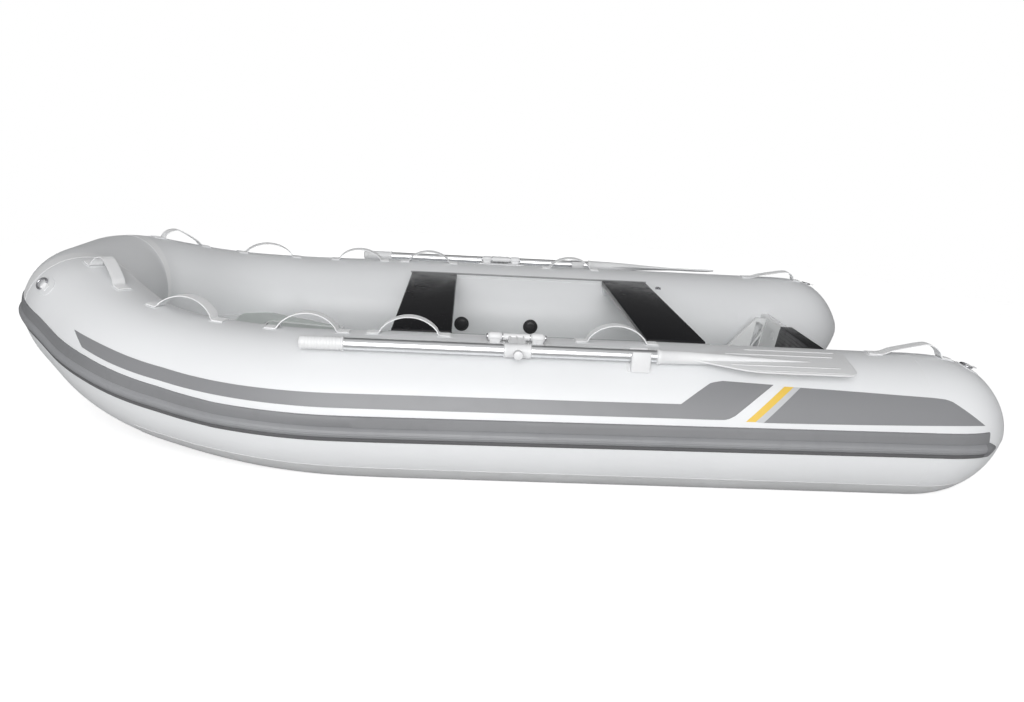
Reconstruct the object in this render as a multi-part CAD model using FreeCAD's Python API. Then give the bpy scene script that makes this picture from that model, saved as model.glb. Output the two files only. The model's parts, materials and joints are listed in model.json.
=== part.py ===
import FreeCAD, Part

import math
import os

from FreeCAD import Vector

# A small inflatable tender with a rigid V hull, afloat. Millimetres.
# The origin is on the waterline, on the centreline, halfway along the boat.
# +X points to the bow, +Y to port and +Z up.

# ---- Overall sizes ----
LENGTH = 3255.0            # from the stern cone tips to the front of the bow tube
BEAM = 1720.0              # over the two side tubes
TUBE_RADIUS = 225.0        # side tubes
BOW_RADIUS = 190.0         # bow tube
TUBE_DRAUGHT = 20.0        # bottom of the side tubes below the waterline
SKIN_GAP = 0.3             # between a tube's skin and what is fitted to it

# ---- Tube run ----
CONE_LENGTH = 355.0        # stern cone, from the full tube to its tip
CONE_TIP = 40.0            # radius of the tip
CONE_FULLNESS = 3.66       # higher is blunter
TAPER_START = 1149.0       # where the tube starts to narrow, aft of the bow axis
SEAM_FROM_CENTRE = 215.0   # ring seam, measured along the bow tube from the stem
TURN_SHARE = 0.48          # part of the shorter run that each tangent arc takes up
BEND_SECTIONS = 18         # sections from the first turn to the stem
# Corners of the tube axis: aft of the bow axis, share of the side spread, rise.
TUBE_TURNS = [
    (763.0, 1.0, 0.0),
    (325.0, 0.81, 49.0),
    (57.0, 0.415, 148.0),
    (0.0, 0.262, 162.0),
]

# ---- Rubbing strake ----
STRAKE_TOP = 52.0          # above the tube axis
STRAKE_BOTTOM = -25.0
STRAKE_FLANGE = 6.0        # thickness of its flat upper part
STRAKE_FLANGE_HEIGHT = 30.0
STRAKE_BULGE = 18.0        # how far the lower part stands out
STRAKE_END = 225.0         # how far it runs onto the stern cone
# The whole strake drops a little amidships: share of the tube's half run, drop.
STRAKE_DROPS = [(-0.12, 0.0), (0.0, 2.0), (0.51, 13.0), (0.67, 17.0), (0.8, 0.0), (1.1, 0.0)]

# ---- Hull ----
KEEL_Z = -95.0
CHINE_ANGLE = 53.13        # where the chine meets the tube, degrees below the inboard horizontal
DECK_Z = 55.0
DECK_THICKNESS = 10.0
# Hull sections, aft ones first: aft of the bow axis, keel rise, chine share, chine rise, top rise.
HULL_SECTIONS = [
    (1154.0, 0.0, 1.0, 0.0, 0.0),
    (850.0, 4.0, 0.96, 3.0, 0.0),
    (454.0, 30.0, 0.77, 44.0, 30.0),
    (254.0, 82.0, 0.54, 105.0, 92.0),
    (124.0, 150.0, 0.30, 155.0, 145.0),
    (26.0, 256.0, 0.10, 165.0, 158.0),
]
HULL_EDGE = 40.0           # how far the hull's top edge reaches under the tube
KEEL_STRIP_WIDTH = 16.0    # half width
KEEL_STRIP_HEIGHT = 10.0

# ---- Transom ----
TRANSOM_FORWARD = 75.0     # its top, forward of the cone's start
TRANSOM_RISE = 100.0       # its top, above the tube axis
TRANSOM_RAKE = 8.0         # degrees, the top further aft
TRANSOM_THICKNESS = 38.0
PAD_THICKNESS = 6.0
PAD_HALF_WIDTH = 180.0
INNER_PAD_DEPTH = 110.0
OUTER_PAD_DEPTH = 230.0
KNEE_INBOARD = 55.0        # its inner face, inboard of the tube
KNEE_THICKNESS = 20.0
KNEE_REACH = 190.0         # along the deck
KNEE_TOE = 30.0            # height of its forward end
KNEE_TOP = 46.0            # its width at the top
KNEE_HEEL = 6.0            # bar against the transom
KNEE_OPENING = 34.0        # width of the opening beside that bar
KNEE_SILL = 30.0           # from the deck to the opening, and its slanted top's drop
KNEE_BRACE = 16.0          # height of the bar that slants across the opening
PLUG_RADIUS = 20.0
PLUG_HEIGHT = 8.0

# ---- Bow locker and its lid ----
LOCKER_BACK = 850.0        # aft of the bow axis
LOCKER_FRONT = 155.0
LOCKER_RISE = 25.0         # its top, above the tube axis
LOCKER_DEPTH = 140.0       # from its top to the floor inside
LID_BACK = 825.0           # aft of the bow axis
LID_FRONT = 550.0
LOCKER_SHOULDER = 437.5    # aft of the bow axis, where it is as wide as the tubes allow
LOCKER_TUCK = 220.0        # its aft corners, inboard of the tube
LID_INBOARD = 245.0        # the lid's aft corners, inboard of the tube
LID_WIDEN = 45.0           # half width gained from its aft edge to its forward edge
LID_THICKNESS = 20.0
LID_GAP = 5.0
LID_REST = 14.0            # ledge that the lid rests on
HINGE_RADIUS = 5.0
HINGE_CLEAR = 0.5          # barrels above the locker's top
PIN_RADIUS = 2.0
PIN_GAP = 0.1
HINGE_LEAF = 2.0
HINGE_LEAF_LENGTH = 22.0
KNUCKLE_LENGTH = 40.0
KNUCKLE_GAP = 0.5
KNUCKLES = 5

# ---- Thwarts and their tracks ----
THWART_DEPTH = 195.0       # fore and aft
THWART_THICKNESS = 25.0
THWART_ANGLE = 51.5        # where its lower corner meets the tube, degrees up from inboard
THWART_LIFT = 4.0          # that corner above the tube's skin
THWARTS = [("thwart_forward", 243.0), ("thwart_aft", -586.0)]   # name, centre x
FOOT_WIDTH = 45.0
FOOT_HEIGHT = 34.0
TRACK_ANGLE = 59.0         # degrees up from the inboard horizontal
TRACK_WIDTH = 30.0
TRACK_THICKNESS = 3.0
TRACK_FIN = 8.0            # height of its standing edge
TRACK_FIN_THICKNESS = 4.0
TRACK_OVERRUN = 6.0        # beyond the outer edges of the two thwarts

# ---- Fittings on the tubes ----
VALVE_RADIUS = 31.5
VALVE_HEIGHT = 13.0
VALVES = [117.5, -180.5]   # x
HANDLE_ANGLE = 92.0        # round the tube, from the outboard horizontal
STRAP_WIDTH = 40.0
STRAP_THICKNESS = 4.0
STRAP_LEAN = 17.0          # degrees inboard
STRAP_PAD = 54.0           # stitched-down end
STRAP_OVERLAP = 12.0       # how far the pad reaches under the loop's foot
# Grab handles: the end they are placed from, their forward foot, their aft foot, the crown as
# a share of the way aft, and the crown's height. Distances run along the tube: from the bow
# they count aft of the bow axis as if the tube were straight, and from the stern forward of
# the cone's start.
HANDLES = [
    ("bow", -55.0, 143.0, 0.5, 58.0),
    ("bow", 326.0, 543.0, 0.5, 58.0),
    ("bow", 751.0, 952.0, 0.5, 58.0),
    ("bow", 1071.0, 1258.0, 0.5, 58.0),
    ("stern", 1006.0, 816.0, 0.5, 58.0),
    ("stern", 85.0, -120.0, 0.76, 44.0),
]
RING_PATCH_RADIUS = 34.0
RING_PATCH_THICKNESS = 3.0
RING_RADIUS = 17.0
RING_WIRE = 3.0
# Towing rings: name, where they are counted from, distance along the tube, degrees round it.
RINGS = [
    ("bow_ring", "stem", 290.0, 42.0),
    ("stern_ring", "cone", 205.0, 86.0),
]

# ---- Oars and what holds them ----
OAR_ANGLE = 61.3           # round the tube, degrees up from the outboard horizontal
SHAFT_RADIUS = 17.5
SHAFT_FRONT_X = 452.0
GRIP_WALL = 2.0            # its thickness round the shaft
GRIP_FRONT_X = 570.0
SOCKET_WALL = 3.5
SOCKET_BEHIND_CLIP = 20.0  # its front end, aft of the clip
SOCKET_LENGTH = 110.0
SOCKET_DEPTH = 60.0        # how far the shaft goes in
BLADE_TIP_X = -1047.0
BLADE_NECK = 36.0
BLADE_WIDTH = 150.0
BLADE_THICKNESS = 6.0
BLADE_FLARE = 180.0        # length over which the blade widens
BLADE_CORNER = 35.0
BLADE_TILT = 12.0          # degrees, outboard edge lower
ROWLOCK_ANGLE = 79.5       # its pin
ROWLOCK_LIFT = 21.0
ROWLOCK_X = -50.0
COLLAR_LENGTH = 80.0
COLLAR_WALL = 4.5
COLLAR_LIFT = 5.5          # between the collar and the tube's skin
COLLAR_GAP = 5.0
ARM_THICKNESS = 16.0
BARREL_WALL = 3.0          # round the pin
LUG_WALL = 9.0
LUG_LENGTH = 42.0
ROWLOCK_PIN = 8.0          # radius
ROWLOCK_PIN_GAP = 0.1
BASE_HALF_WIDTH = 28.0
BASE_OUTBOARD = 10.0       # its middle, outboard of the pin
BASE_UNDER_PIN = 16.0      # its top, below the pin's centre
KNOB_RADIUS = 14.0
KNOB_REACH = 56.0
CLIP_X = -411.0
CLIP_LENGTH = 56.0
CLIP_ROOM = 5.0
CLIP_WALL = 5.0
CLIP_REST = 1.5            # between the shaft and the round seat under it
CLIP_WALL_TOP = 12.0       # above the oar's centre

# ---- Places worked out from those sizes ----
SPREAD = BEAM / 2 - TUBE_RADIUS
AXIS_HEIGHT = TUBE_RADIUS - TUBE_DRAUGHT
BOW_AXIS_X = LENGTH / 2 - BOW_RADIUS
CONE_START_X = CONE_LENGTH - LENGTH / 2
RAKE = math.tan(math.radians(TRANSOM_RAKE))


def round_tube(degrees, lift):
    """The y and z of a place round the port tube, from the outboard horizontal upwards."""
    angle = math.radians(degrees)
    reach = TUBE_RADIUS + lift
    return SPREAD + reach * math.cos(angle), AXIS_HEIGHT + reach * math.sin(angle)


CHINE_Y, CHINE_Z = round_tube(180 + CHINE_ANGLE, 0)
TRANSOM_TOP_X = CONE_START_X + TRANSOM_FORWARD
TRANSOM_TOP_Z = AXIS_HEIGHT + TRANSOM_RISE
KNEE_Y = SPREAD - TUBE_RADIUS - KNEE_INBOARD
LOCKER_BACK_X = BOW_AXIS_X - LOCKER_BACK
LOCKER_FRONT_X = BOW_AXIS_X - LOCKER_FRONT
LOCKER_TOP_Z = AXIS_HEIGHT + LOCKER_RISE
LOCKER_FLOOR_Z = LOCKER_TOP_Z - LOCKER_DEPTH
LID_BACK_X = BOW_AXIS_X - LID_BACK
LID_FRONT_X = BOW_AXIS_X - LID_FRONT
LID_BACK_HALF = SPREAD - TUBE_RADIUS - LID_INBOARD
LID_FRONT_HALF = LID_BACK_HALF + LID_WIDEN
THWART_HALF, THWART_UNDER_Z = round_tube(180 - THWART_ANGLE, THWART_LIFT)
TRACK_FRONT_X = THWARTS[0][1] + THWART_DEPTH / 2 + TRACK_OVERRUN
TRACK_BACK_X = THWARTS[-1][1] - THWART_DEPTH / 2 - TRACK_OVERRUN
GRIP_RADIUS = SHAFT_RADIUS + GRIP_WALL
SOCKET_RADIUS = SHAFT_RADIUS + SOCKET_WALL
COLLAR_RADIUS = SHAFT_RADIUS + COLLAR_WALL
BARREL_RADIUS = ROWLOCK_PIN + BARREL_WALL
LUG_RADIUS = ROWLOCK_PIN + LUG_WALL
OAR_Y, OAR_Z = round_tube(OAR_ANGLE, COLLAR_RADIUS + COLLAR_LIFT)
SOCKET_FRONT_X = CLIP_X - CLIP_LENGTH / 2 - SOCKET_BEHIND_CLIP
SHAFT_BACK_X = SOCKET_FRONT_X - SOCKET_DEPTH
ROWLOCK_Y, ROWLOCK_Z = round_tube(ROWLOCK_ANGLE, ROWLOCK_LIFT)


def box(x0, x1, y0, y1, z0, z1):
    """A block between two corners."""
    return Part.makeBox(x1 - x0, y1 - y0, z1 - z0, Vector(x0, y0, z0))


def rod(start, direction, length, radius):
    """A round bar from a point along a direction."""
    return Part.makeCylinder(radius, length, start, direction)


def prism(points, sweep):
    """A closed outline of points, extruded along a vector."""
    return Part.Face(Part.makePolygon(points + points[:1])).extrude(sweep)


def mirrored(shape):
    """The starboard copy of a port shape."""
    return shape.mirror(Vector(0, 0, 0), Vector(0, 1, 0))


def save(name, shape):
    """Write one sub-part, after checking that it is sound."""
    if not shape.isValid():
        print("not valid:", name)
    solids = shape.Solids
    print(name, "solids", len(solids), "litres", round(shape.Volume / 1e6, 3))
    whole = solids[0] if len(solids) == 1 else Part.makeCompound(solids)
    whole.exportStep("parts/%s.step" % name)


# ---- The tube axis: straight runs joined by tangent arcs ----

def axis_runs():
    """The port half of the tube axis, from the cone's start to the stem, as lines and arcs.

    Each run is (length, point, direction, centre), where centre is None on a line.
    """
    corners = [Vector(CONE_START_X, SPREAD, AXIS_HEIGHT)]
    for aft, share, rise in TUBE_TURNS:
        corners.append(Vector(BOW_AXIS_X - aft, SPREAD * share, AXIS_HEIGHT + rise))
    last = corners[-1]
    corners.append(Vector(last.x, -last.y, last.z))
    runs = []
    here = corners[0]
    for before, corner, after in zip(corners, corners[1:], corners[2:]):
        way_in = (corner - before).normalize()
        way_out = (after - corner).normalize()
        reach = TURN_SHARE * min((corner - before).Length, (after - corner).Length)
        begin = corner - way_in * reach
        runs.append(((begin - here).Length, here, way_in, None))
        half_turn = way_in.getAngle(way_out) / 2
        radius = reach / math.tan(half_turn)
        inward = (way_out - way_in).normalize()
        centre = corner + inward * math.hypot(reach, radius)
        runs.append((2 * half_turn * radius, begin, way_in, centre))
        here = corner + way_out * reach
    stem = Vector(here.x, 0, here.z)
    runs.append(((stem - here).Length, here, Vector(0, -1, 0), None))
    return runs


AXIS_RUNS = axis_runs()
HALF_RUN = sum(run[0] for run in AXIS_RUNS)
FIRST_TURN = AXIS_RUNS[0][0]


def on_axis(along):
    """The point and direction of the tube axis at a distance from the cone's start."""
    if along < 0:
        return Vector(CONE_START_X + along, SPREAD, AXIS_HEIGHT), Vector(1, 0, 0)
    if along > HALF_RUN:
        point, way = on_axis(2 * HALF_RUN - along)
        return Vector(point.x, -point.y, point.z), Vector(-way.x, way.y, -way.z)
    left = along
    for length, start, way, centre in AXIS_RUNS:
        if left <= length + 1e-9:
            break
        left -= length
    if centre is None:
        return start + way * left, way
    arm = start - centre
    turn = left / arm.Length
    point = centre + arm * math.cos(turn) + way * (arm.Length * math.sin(turn))
    return point, way * math.cos(turn) - arm * (math.sin(turn) / arm.Length)


def tube_radius(along):
    """The tube's radius: rounded off at the stern, narrowing smoothly to the bow."""
    if along < 0:
        share = -along / CONE_LENGTH
        return CONE_TIP + (TUBE_RADIUS - CONE_TIP) * (1 - share ** CONE_FULLNESS)
    point = on_axis(along)[0]
    share = (point.x - BOW_AXIS_X + TAPER_START) / TAPER_START
    share = min(1.0, max(0.0, share))
    return TUBE_RADIUS + (BOW_RADIUS - TUBE_RADIUS) * share * share * (3 - 2 * share)


def across(along):
    """A placement on the tube axis: local X outboard, local Y up, local Z along the tube."""
    point, way = on_axis(along)
    up = (Vector(0, 0, 1) - way * way.z).normalize()
    out = up.cross(way)
    return FreeCAD.Placement(FreeCAD.Matrix(
        out.x, up.x, way.x, point.x,
        out.y, up.y, way.y, point.y,
        out.z, up.z, way.z, point.z,
        0, 0, 0, 1))


def on_skin(along, degrees, lift):
    """A placement on the tube's skin: local Z out of the skin, local X along the tube."""
    angle = math.radians(degrees)
    reach = tube_radius(along) + lift
    out = Vector(math.cos(angle), math.sin(angle), 0)
    level = out.cross(Vector(0, 0, 1))
    seat = FreeCAD.Matrix(
        0, level.x, out.x, out.x * reach,
        0, level.y, out.y, out.y * reach,
        1, 0, 0, 0,
        0, 0, 0, 1)
    return FreeCAD.Placement(across(along).toMatrix() * seat)


def spread_out(start, end, count):
    """Evenly spaced values from start to end, both included."""
    return [start + (end - start) * i / count for i in range(count + 1)]


CONE_SHARES = (1.0, 0.98, 0.96, 0.94, 0.91, 0.88, 0.84, 0.8, 0.7, 0.56, 0.4, 0.2)
CONE_STATIONS = [-CONE_LENGTH * s for s in CONE_SHARES]
SEAM = HALF_RUN - SEAM_FROM_CENTRE
BEND_STATIONS = spread_out(FIRST_TURN, HALF_RUN, BEND_SECTIONS)
TAPER_ALONG = BOW_AXIS_X - TAPER_START - CONE_START_X
CLOSEST = 30.0             # sections nearer than this to the seam are left out
SIDE_STATIONS = [0.0, TAPER_ALONG] + [s for s in BEND_STATIONS if s < SEAM - CLOSEST] + [SEAM]
BOW_STATIONS = [SEAM] + [s for s in BEND_STATIONS if s > SEAM + CLOSEST]
BOW_STATIONS += [2 * HALF_RUN - s for s in reversed(BOW_STATIONS[:-1])]


def tube(stations, lift=0.0):
    """A length of tube through round sections, with its skin moved out by lift."""
    rings = []
    for along in stations:
        ring = Part.Wire(Part.makeCircle(tube_radius(along) + lift))
        ring.Placement = across(along)
        rings.append(ring)
    return Part.makeLoft(rings, True, True)


SIDE_ENVELOPE = tube(CONE_STATIONS + SIDE_STATIONS, SKIN_GAP)
TUBE_ENVELOPE = [SIDE_ENVELOPE, mirrored(SIDE_ENVELOPE), tube(BOW_STATIONS, SKIN_GAP)]


def clear_of_tubes(shape):
    """The shape with the tubes, and a skin's gap around them, cut away."""
    for part in TUBE_ENVELOPE:
        shape = shape.cut(part)
    return shape


def make_tubes():
    """Two side tubes with their stern cones, and the bow tube between the ring seams."""
    side = tube(CONE_STATIONS + SIDE_STATIONS)
    save("tube_port", side)
    save("tube_starboard", mirrored(side))
    save("tube_bow", tube(BOW_STATIONS))


def strake_drop(along):
    """How far the strake sits below its height at the stern."""
    share = min(along, 2 * HALF_RUN - along) / HALF_RUN
    for (low, low_drop), (high, high_drop) in zip(STRAKE_DROPS, STRAKE_DROPS[1:]):
        if share <= high:
            break
    return low_drop + (high_drop - low_drop) * (share - low) / (high - low)


def strake_section(along):
    """The strake's outline against the tube: a flat flange above a rounded rib."""
    skin = tube_radius(along) + SKIN_GAP
    flange = skin + STRAKE_FLANGE
    top = STRAKE_TOP - strake_drop(along)
    bottom = STRAKE_BOTTOM - strake_drop(along)
    middle = top - STRAKE_FLANGE_HEIGHT

    def at(radius, height):
        return Vector(math.sqrt(radius * radius - height * height), height, 0)

    top_in = at(skin, top)
    top_out = at(flange, top)
    step = at(flange, middle)
    low_out = at(flange, bottom)
    low_in = at(skin, bottom)
    crown = Vector(skin + STRAKE_BULGE, (middle + bottom) / 2, 0)
    edges = [
        Part.LineSegment(top_in, top_out).toShape(),
        Part.LineSegment(top_out, step).toShape(),
        Part.Arc(step, crown, low_out).toShape(),
        Part.LineSegment(low_out, low_in).toShape(),
        Part.Arc(low_in, at(skin, middle / 2), top_in).toShape(),
    ]
    wire = Part.Wire(edges)
    wire.Placement = across(along)
    return wire


def make_strakes():
    """The rubbing strake, in three lengths that meet at the ring seams."""
    cone = [s for s in CONE_STATIONS if s > -STRAKE_END]
    side = Part.makeLoft([strake_section(s) for s in [-STRAKE_END] + cone + SIDE_STATIONS], True, True)
    save("rub_strake_port", side)
    save("rub_strake_starboard", mirrored(side))
    save("rub_strake_bow", Part.makeLoft([strake_section(s) for s in BOW_STATIONS], True, True))


# ---- Hull, deck and transom ----

def transom_face(z):
    """The x of the transom's forward face at a height."""
    return TRANSOM_TOP_X + (TRANSOM_TOP_Z - z) * RAKE


def hull_lines():
    """Hull sections as (x, keel z, chine y, chine z, top z), stern first."""
    chine = CHINE_Y
    under = DECK_Z - DECK_THICKNESS
    lines = [(transom_face(KEEL_Z) - 200, KEEL_Z, chine, CHINE_Z, under)]
    for aft, keel_rise, share, chine_rise, top_rise in HULL_SECTIONS:
        keel = KEEL_Z + keel_rise
        lines.append((BOW_AXIS_X - aft, keel, chine * share, CHINE_Z + chine_rise, under + top_rise))
    return lines


def behind_transom(face_x_shift):
    """A large block aft of the transom's forward face, moved aft by a distance."""
    high = 600.0
    low = -300.0
    reach = 900.0
    points = [
        Vector(transom_face(high) - face_x_shift, -reach, high),
        Vector(transom_face(low) - face_x_shift, -reach, low),
        Vector(transom_face(low) - reach, -reach, low),
        Vector(transom_face(low) - reach, -reach, high),
    ]
    return prism(points, Vector(0, 2 * reach, 0))


def make_hull():
    """The V hull, its keel strip and the deck on top of it."""
    sections = []
    strips = []
    for x, keel, chine_y, chine_z, top in hull_lines():
        edge = chine_y + HULL_EDGE
        outline = [(0, keel), (chine_y, chine_z), (edge, top), (-edge, top), (-chine_y, chine_z)]
        points = [Vector(x, y, z) for y, z in outline]
        sections.append(Part.makePolygon(points + points[:1]))
        wide = KEEL_STRIP_WIDTH
        side = keel + wide * (chine_z - keel) / chine_y
        foot = keel - KEEL_STRIP_HEIGHT
        outline = [(0, keel), (wide, side), (wide / 2, foot), (-wide / 2, foot), (-wide, side)]
        points = [Vector(x, y, z) for y, z in outline]
        strips.append(Part.makePolygon(points + points[:1]))
    stern_off = behind_transom(0.0)
    hull = Part.makeLoft(sections, True, True).cut(stern_off)
    save("hull", clear_of_tubes(hull))
    strip = Part.makeLoft(strips[:-1], True, True).cut(stern_off).cut(hull)
    save("keel_strip", clear_of_tubes(strip))
    deck = box(transom_face(DECK_Z) - 100, LOCKER_BACK_X, -CHINE_Y, CHINE_Y, DECK_Z - DECK_THICKNESS, DECK_Z)
    save("deck", clear_of_tubes(deck.cut(stern_off)))


def make_transom():
    """The transom board, its motor pads, the drain plug and the two knees."""
    slab = behind_transom(0.0).cut(behind_transom(TRANSOM_THICKNESS))
    far = 400.0
    top = TRANSOM_TOP_Z
    outline = [(0, KEEL_Z), (CHINE_Y, CHINE_Z), (CHINE_Y, top), (-CHINE_Y, top), (-CHINE_Y, CHINE_Z)]
    points = [Vector(TRANSOM_TOP_X - far, y, z) for y, z in outline]
    save("transom", clear_of_tubes(slab.common(prism(points, Vector(2 * far, 0, 0)))))
    pads = [
        ("motor_pad_inner", -PAD_THICKNESS, 0.0, INNER_PAD_DEPTH),
        ("motor_pad_outer", TRANSOM_THICKNESS, TRANSOM_THICKNESS + PAD_THICKNESS, OUTER_PAD_DEPTH),
    ]
    for name, front, back, depth in pads:
        layer = behind_transom(front).cut(behind_transom(back))
        room = box(TRANSOM_TOP_X - far, TRANSOM_TOP_X + far, -PAD_HALF_WIDTH, PAD_HALF_WIDTH, top - depth, top)
        save(name, layer.common(room))
    plug_z = (KEEL_Z + CHINE_Z) / 2
    aft = Vector(-math.cos(math.radians(TRANSOM_RAKE)), 0, -math.sin(math.radians(TRANSOM_RAKE)))
    plug_x = transom_face(plug_z) - TRANSOM_THICKNESS
    save("drain_plug", rod(Vector(plug_x, 0, plug_z), aft, PLUG_HEIGHT, PLUG_RADIUS))
    knee_low = Vector(transom_face(DECK_Z), KNEE_Y, DECK_Z)
    knee_high = Vector(transom_face(top - 5), KNEE_Y, top - 5)
    knee_toe = Vector(transom_face(DECK_Z) + KNEE_REACH, KNEE_Y, DECK_Z)
    toe_top = knee_toe + Vector(0, 0, KNEE_TOE)
    high_front = knee_high + Vector(KNEE_TOP, 0, 0)
    thick = Vector(0, KNEE_THICKNESS, 0)
    plate = prism([knee_low, knee_toe, toe_top, high_front, knee_high], thick)

    def beside_transom(z, ahead):
        return Vector(transom_face(z) + KNEE_HEEL + ahead, KNEE_Y, z)

    sill = DECK_Z + KNEE_SILL
    crown = top - 5 - KNEE_SILL
    tall = crown - sill
    opening = [
        beside_transom(sill, 0),
        beside_transom(sill, KNEE_OPENING),
        beside_transom(crown + KNEE_SILL / 2, KNEE_OPENING),
        beside_transom(crown, 0),
    ]
    brace = [
        beside_transom(sill + tall * 0.85, -1),
        beside_transom(sill + tall * 0.85 - KNEE_BRACE, -1),
        beside_transom(sill + tall * 0.45 - KNEE_BRACE, KNEE_OPENING + 1),
        beside_transom(sill + tall * 0.45, KNEE_OPENING + 1),
    ]
    knee = plate.cut(prism(opening, thick).cut(prism(brace, thick)))
    save("transom_knee_port", knee)
    save("transom_knee_starboard", mirrored(knee))


# ---- Bow locker ----

def locker_outline(back, front, back_half, front_half, z):
    """A tapered plan outline at a height."""
    return [
        Vector(back, -back_half, z),
        Vector(front, -front_half, z),
        Vector(front, front_half, z),
        Vector(back, back_half, z),
    ]


def make_locker():
    """The raised bow locker, the hinge on it and its lid."""
    under = DECK_Z - DECK_THICKNESS
    body = box(LOCKER_BACK_X, LOCKER_FRONT_X, -CHINE_Y, CHINE_Y, under, LOCKER_TOP_Z)
    corner_y = SPREAD - TUBE_RADIUS - LOCKER_TUCK
    shoulder = Vector(BOW_AXIS_X - LOCKER_SHOULDER, SPREAD - TUBE_RADIUS, DECK_Z)
    slant = (shoulder.y - corner_y) / (shoulder.x - LOCKER_BACK_X)
    outer_y = CHINE_Y + 1
    outer_x = shoulder.x + (outer_y - shoulder.y) / slant
    start = Vector(LOCKER_BACK_X - 1, corner_y - slant, DECK_Z)
    outline = [start, Vector(outer_x, outer_y, DECK_Z), Vector(LOCKER_BACK_X - 1, outer_y, DECK_Z)]
    corner = prism(outline, Vector(0, 0, 500))
    body = body.cut(corner).cut(mirrored(corner))
    sections = []
    for x, keel, chine_y, chine_z, top in hull_lines():
        low = -300.0
        wide = CHINE_Y + HULL_EDGE + 50
        points = [Vector(x, wide, low), Vector(x, wide, top), Vector(x, -wide, top), Vector(x, -wide, low)]
        sections.append(Part.makePolygon(points + points[:1]))
    body = body.cut(Part.makeLoft(sections, True, True))
    slope = (LID_FRONT_HALF - LID_BACK_HALF) / (LID_FRONT_X - LID_BACK_X)

    def half_at(x):
        return LID_BACK_HALF + slope * (x - LID_BACK_X)

    def lid_shape(grow, low, high):
        back = LID_BACK_X - grow
        front = LID_FRONT_X + grow
        outline = locker_outline(back, front, half_at(back) + grow, half_at(front) + grow, low)
        return prism(outline, Vector(0, 0, high - low))

    rest = LOCKER_TOP_Z - LID_THICKNESS - SKIN_GAP
    body = body.cut(lid_shape(LID_GAP, rest, LOCKER_TOP_Z + 1))
    body = body.cut(lid_shape(-LID_REST, LOCKER_FLOOR_Z, rest + 1))
    save("bow_locker", clear_of_tubes(body))

    hinge_x = LID_FRONT_X + LID_GAP
    hinge_z = LOCKER_TOP_Z + HINGE_RADIUS + HINGE_CLEAR
    step = KNUCKLE_LENGTH + KNUCKLE_GAP
    start = -(KNUCKLES * step - KNUCKLE_GAP) / 2
    fixed = [rod(Vector(hinge_x, start, hinge_z), Vector(0, 1, 0), KNUCKLES * step - KNUCKLE_GAP, PIN_RADIUS)]
    moving = [lid_shape(0.0, LOCKER_TOP_Z - LID_THICKNESS, LOCKER_TOP_Z)]
    bore = rod(Vector(hinge_x, -500, hinge_z), Vector(0, 1, 0), 1000, PIN_RADIUS + PIN_GAP)
    for i in range(KNUCKLES):
        low = start + i * step
        high = low + KNUCKLE_LENGTH
        barrel = rod(Vector(hinge_x, low, hinge_z), Vector(0, 1, 0), KNUCKLE_LENGTH, HINGE_RADIUS)
        if i % 2 == 0:
            leaf = box(hinge_x, hinge_x + HINGE_LEAF_LENGTH, low, high, LOCKER_TOP_Z, LOCKER_TOP_Z + HINGE_LEAF)
            fixed.append(barrel.fuse(leaf))
        else:
            leaf = box(hinge_x - HINGE_LEAF_LENGTH, hinge_x, low, high, LOCKER_TOP_Z, LOCKER_TOP_Z + HINGE_LEAF)
            moving.append(barrel.fuse(leaf).cut(bore))
    save("locker_hinge", fixed[0].fuse(fixed[1:]).removeSplitter())
    save("bow_locker_lid", moving[0].fuse(moving[1:]).removeSplitter())


# ---- Thwarts ----

def make_thwarts():
    """Two plank seats on feet shaped to the tubes, and the tracks beside them."""
    for name, middle in THWARTS:
        back = middle - THWART_DEPTH / 2
        front = middle + THWART_DEPTH / 2
        under = THWART_UNDER_Z
        edge = THWART_HALF
        seat = box(back, front, -edge, edge, under, under + THWART_THICKNESS)
        for side in (-1, 1):
            low, high = sorted((side * edge, side * (edge - FOOT_WIDTH)))
            seat = seat.fuse(box(back, front, low, high, under - FOOT_HEIGHT, under))
        save(name, clear_of_tubes(seat.removeSplitter()))
    length = TRACK_FRONT_X - TRACK_BACK_X
    track = Part.makeBox(length, TRACK_WIDTH, TRACK_THICKNESS, Vector(-length / 2, -TRACK_WIDTH / 2, 0))
    fin_start = Vector(-length / 2, -TRACK_FIN_THICKNESS / 2, 0)
    track = track.fuse(Part.makeBox(length, TRACK_FIN_THICKNESS, TRACK_FIN, fin_start))
    middle = (TRACK_FRONT_X + TRACK_BACK_X) / 2 - CONE_START_X
    track.Placement = on_skin(middle, 180 - TRACK_ANGLE, SKIN_GAP)
    save("seat_track_port", track)
    save("seat_track_starboard", mirrored(track))


# ---- Grab handles, valves and rings ----

def handle_feet(end, front, back):
    """The two feet of a handle as distances along the tube axis."""
    if end == "bow":
        start = BOW_AXIS_X - CONE_START_X
        return start - front, start - back
    return front, back


def strap(span, crown, height):
    """A webbing loop in its own frame: feet on z = 0 at each end of X, leaning towards -Y."""
    half = span / 2
    peak = half - crown * span
    edges = []
    for foot in (-half, half):
        side = 1 if foot > peak else -1
        width = abs(foot - peak)
        radius = (width * width + height * height) / (2 * height)
        centre = height - radius
        ends = []
        for reach in (radius, radius - STRAP_THICKNESS):
            start = math.asin(-centre / reach)
            points = []
            for angle in (start, (start + math.pi / 2) / 2, math.pi / 2):
                points.append(Vector(peak + side * reach * math.cos(angle), 0, centre + reach * math.sin(angle)))
            edges.append(Part.Arc(*points).toShape())
            ends.append(points[0])
        edges.append(Part.LineSegment(ends[0], ends[1]).toShape())
    outline = Part.Face(Part.Wire(Part.sortEdges(edges)[0]))
    outline.rotate(Vector(0, 0, 0), Vector(1, 0, 0), STRAP_LEAN)
    loop = outline.extrude(Vector(0, STRAP_WIDTH, 0))
    loop.translate(Vector(0, -STRAP_WIDTH / 2, 0))
    return loop


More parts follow.
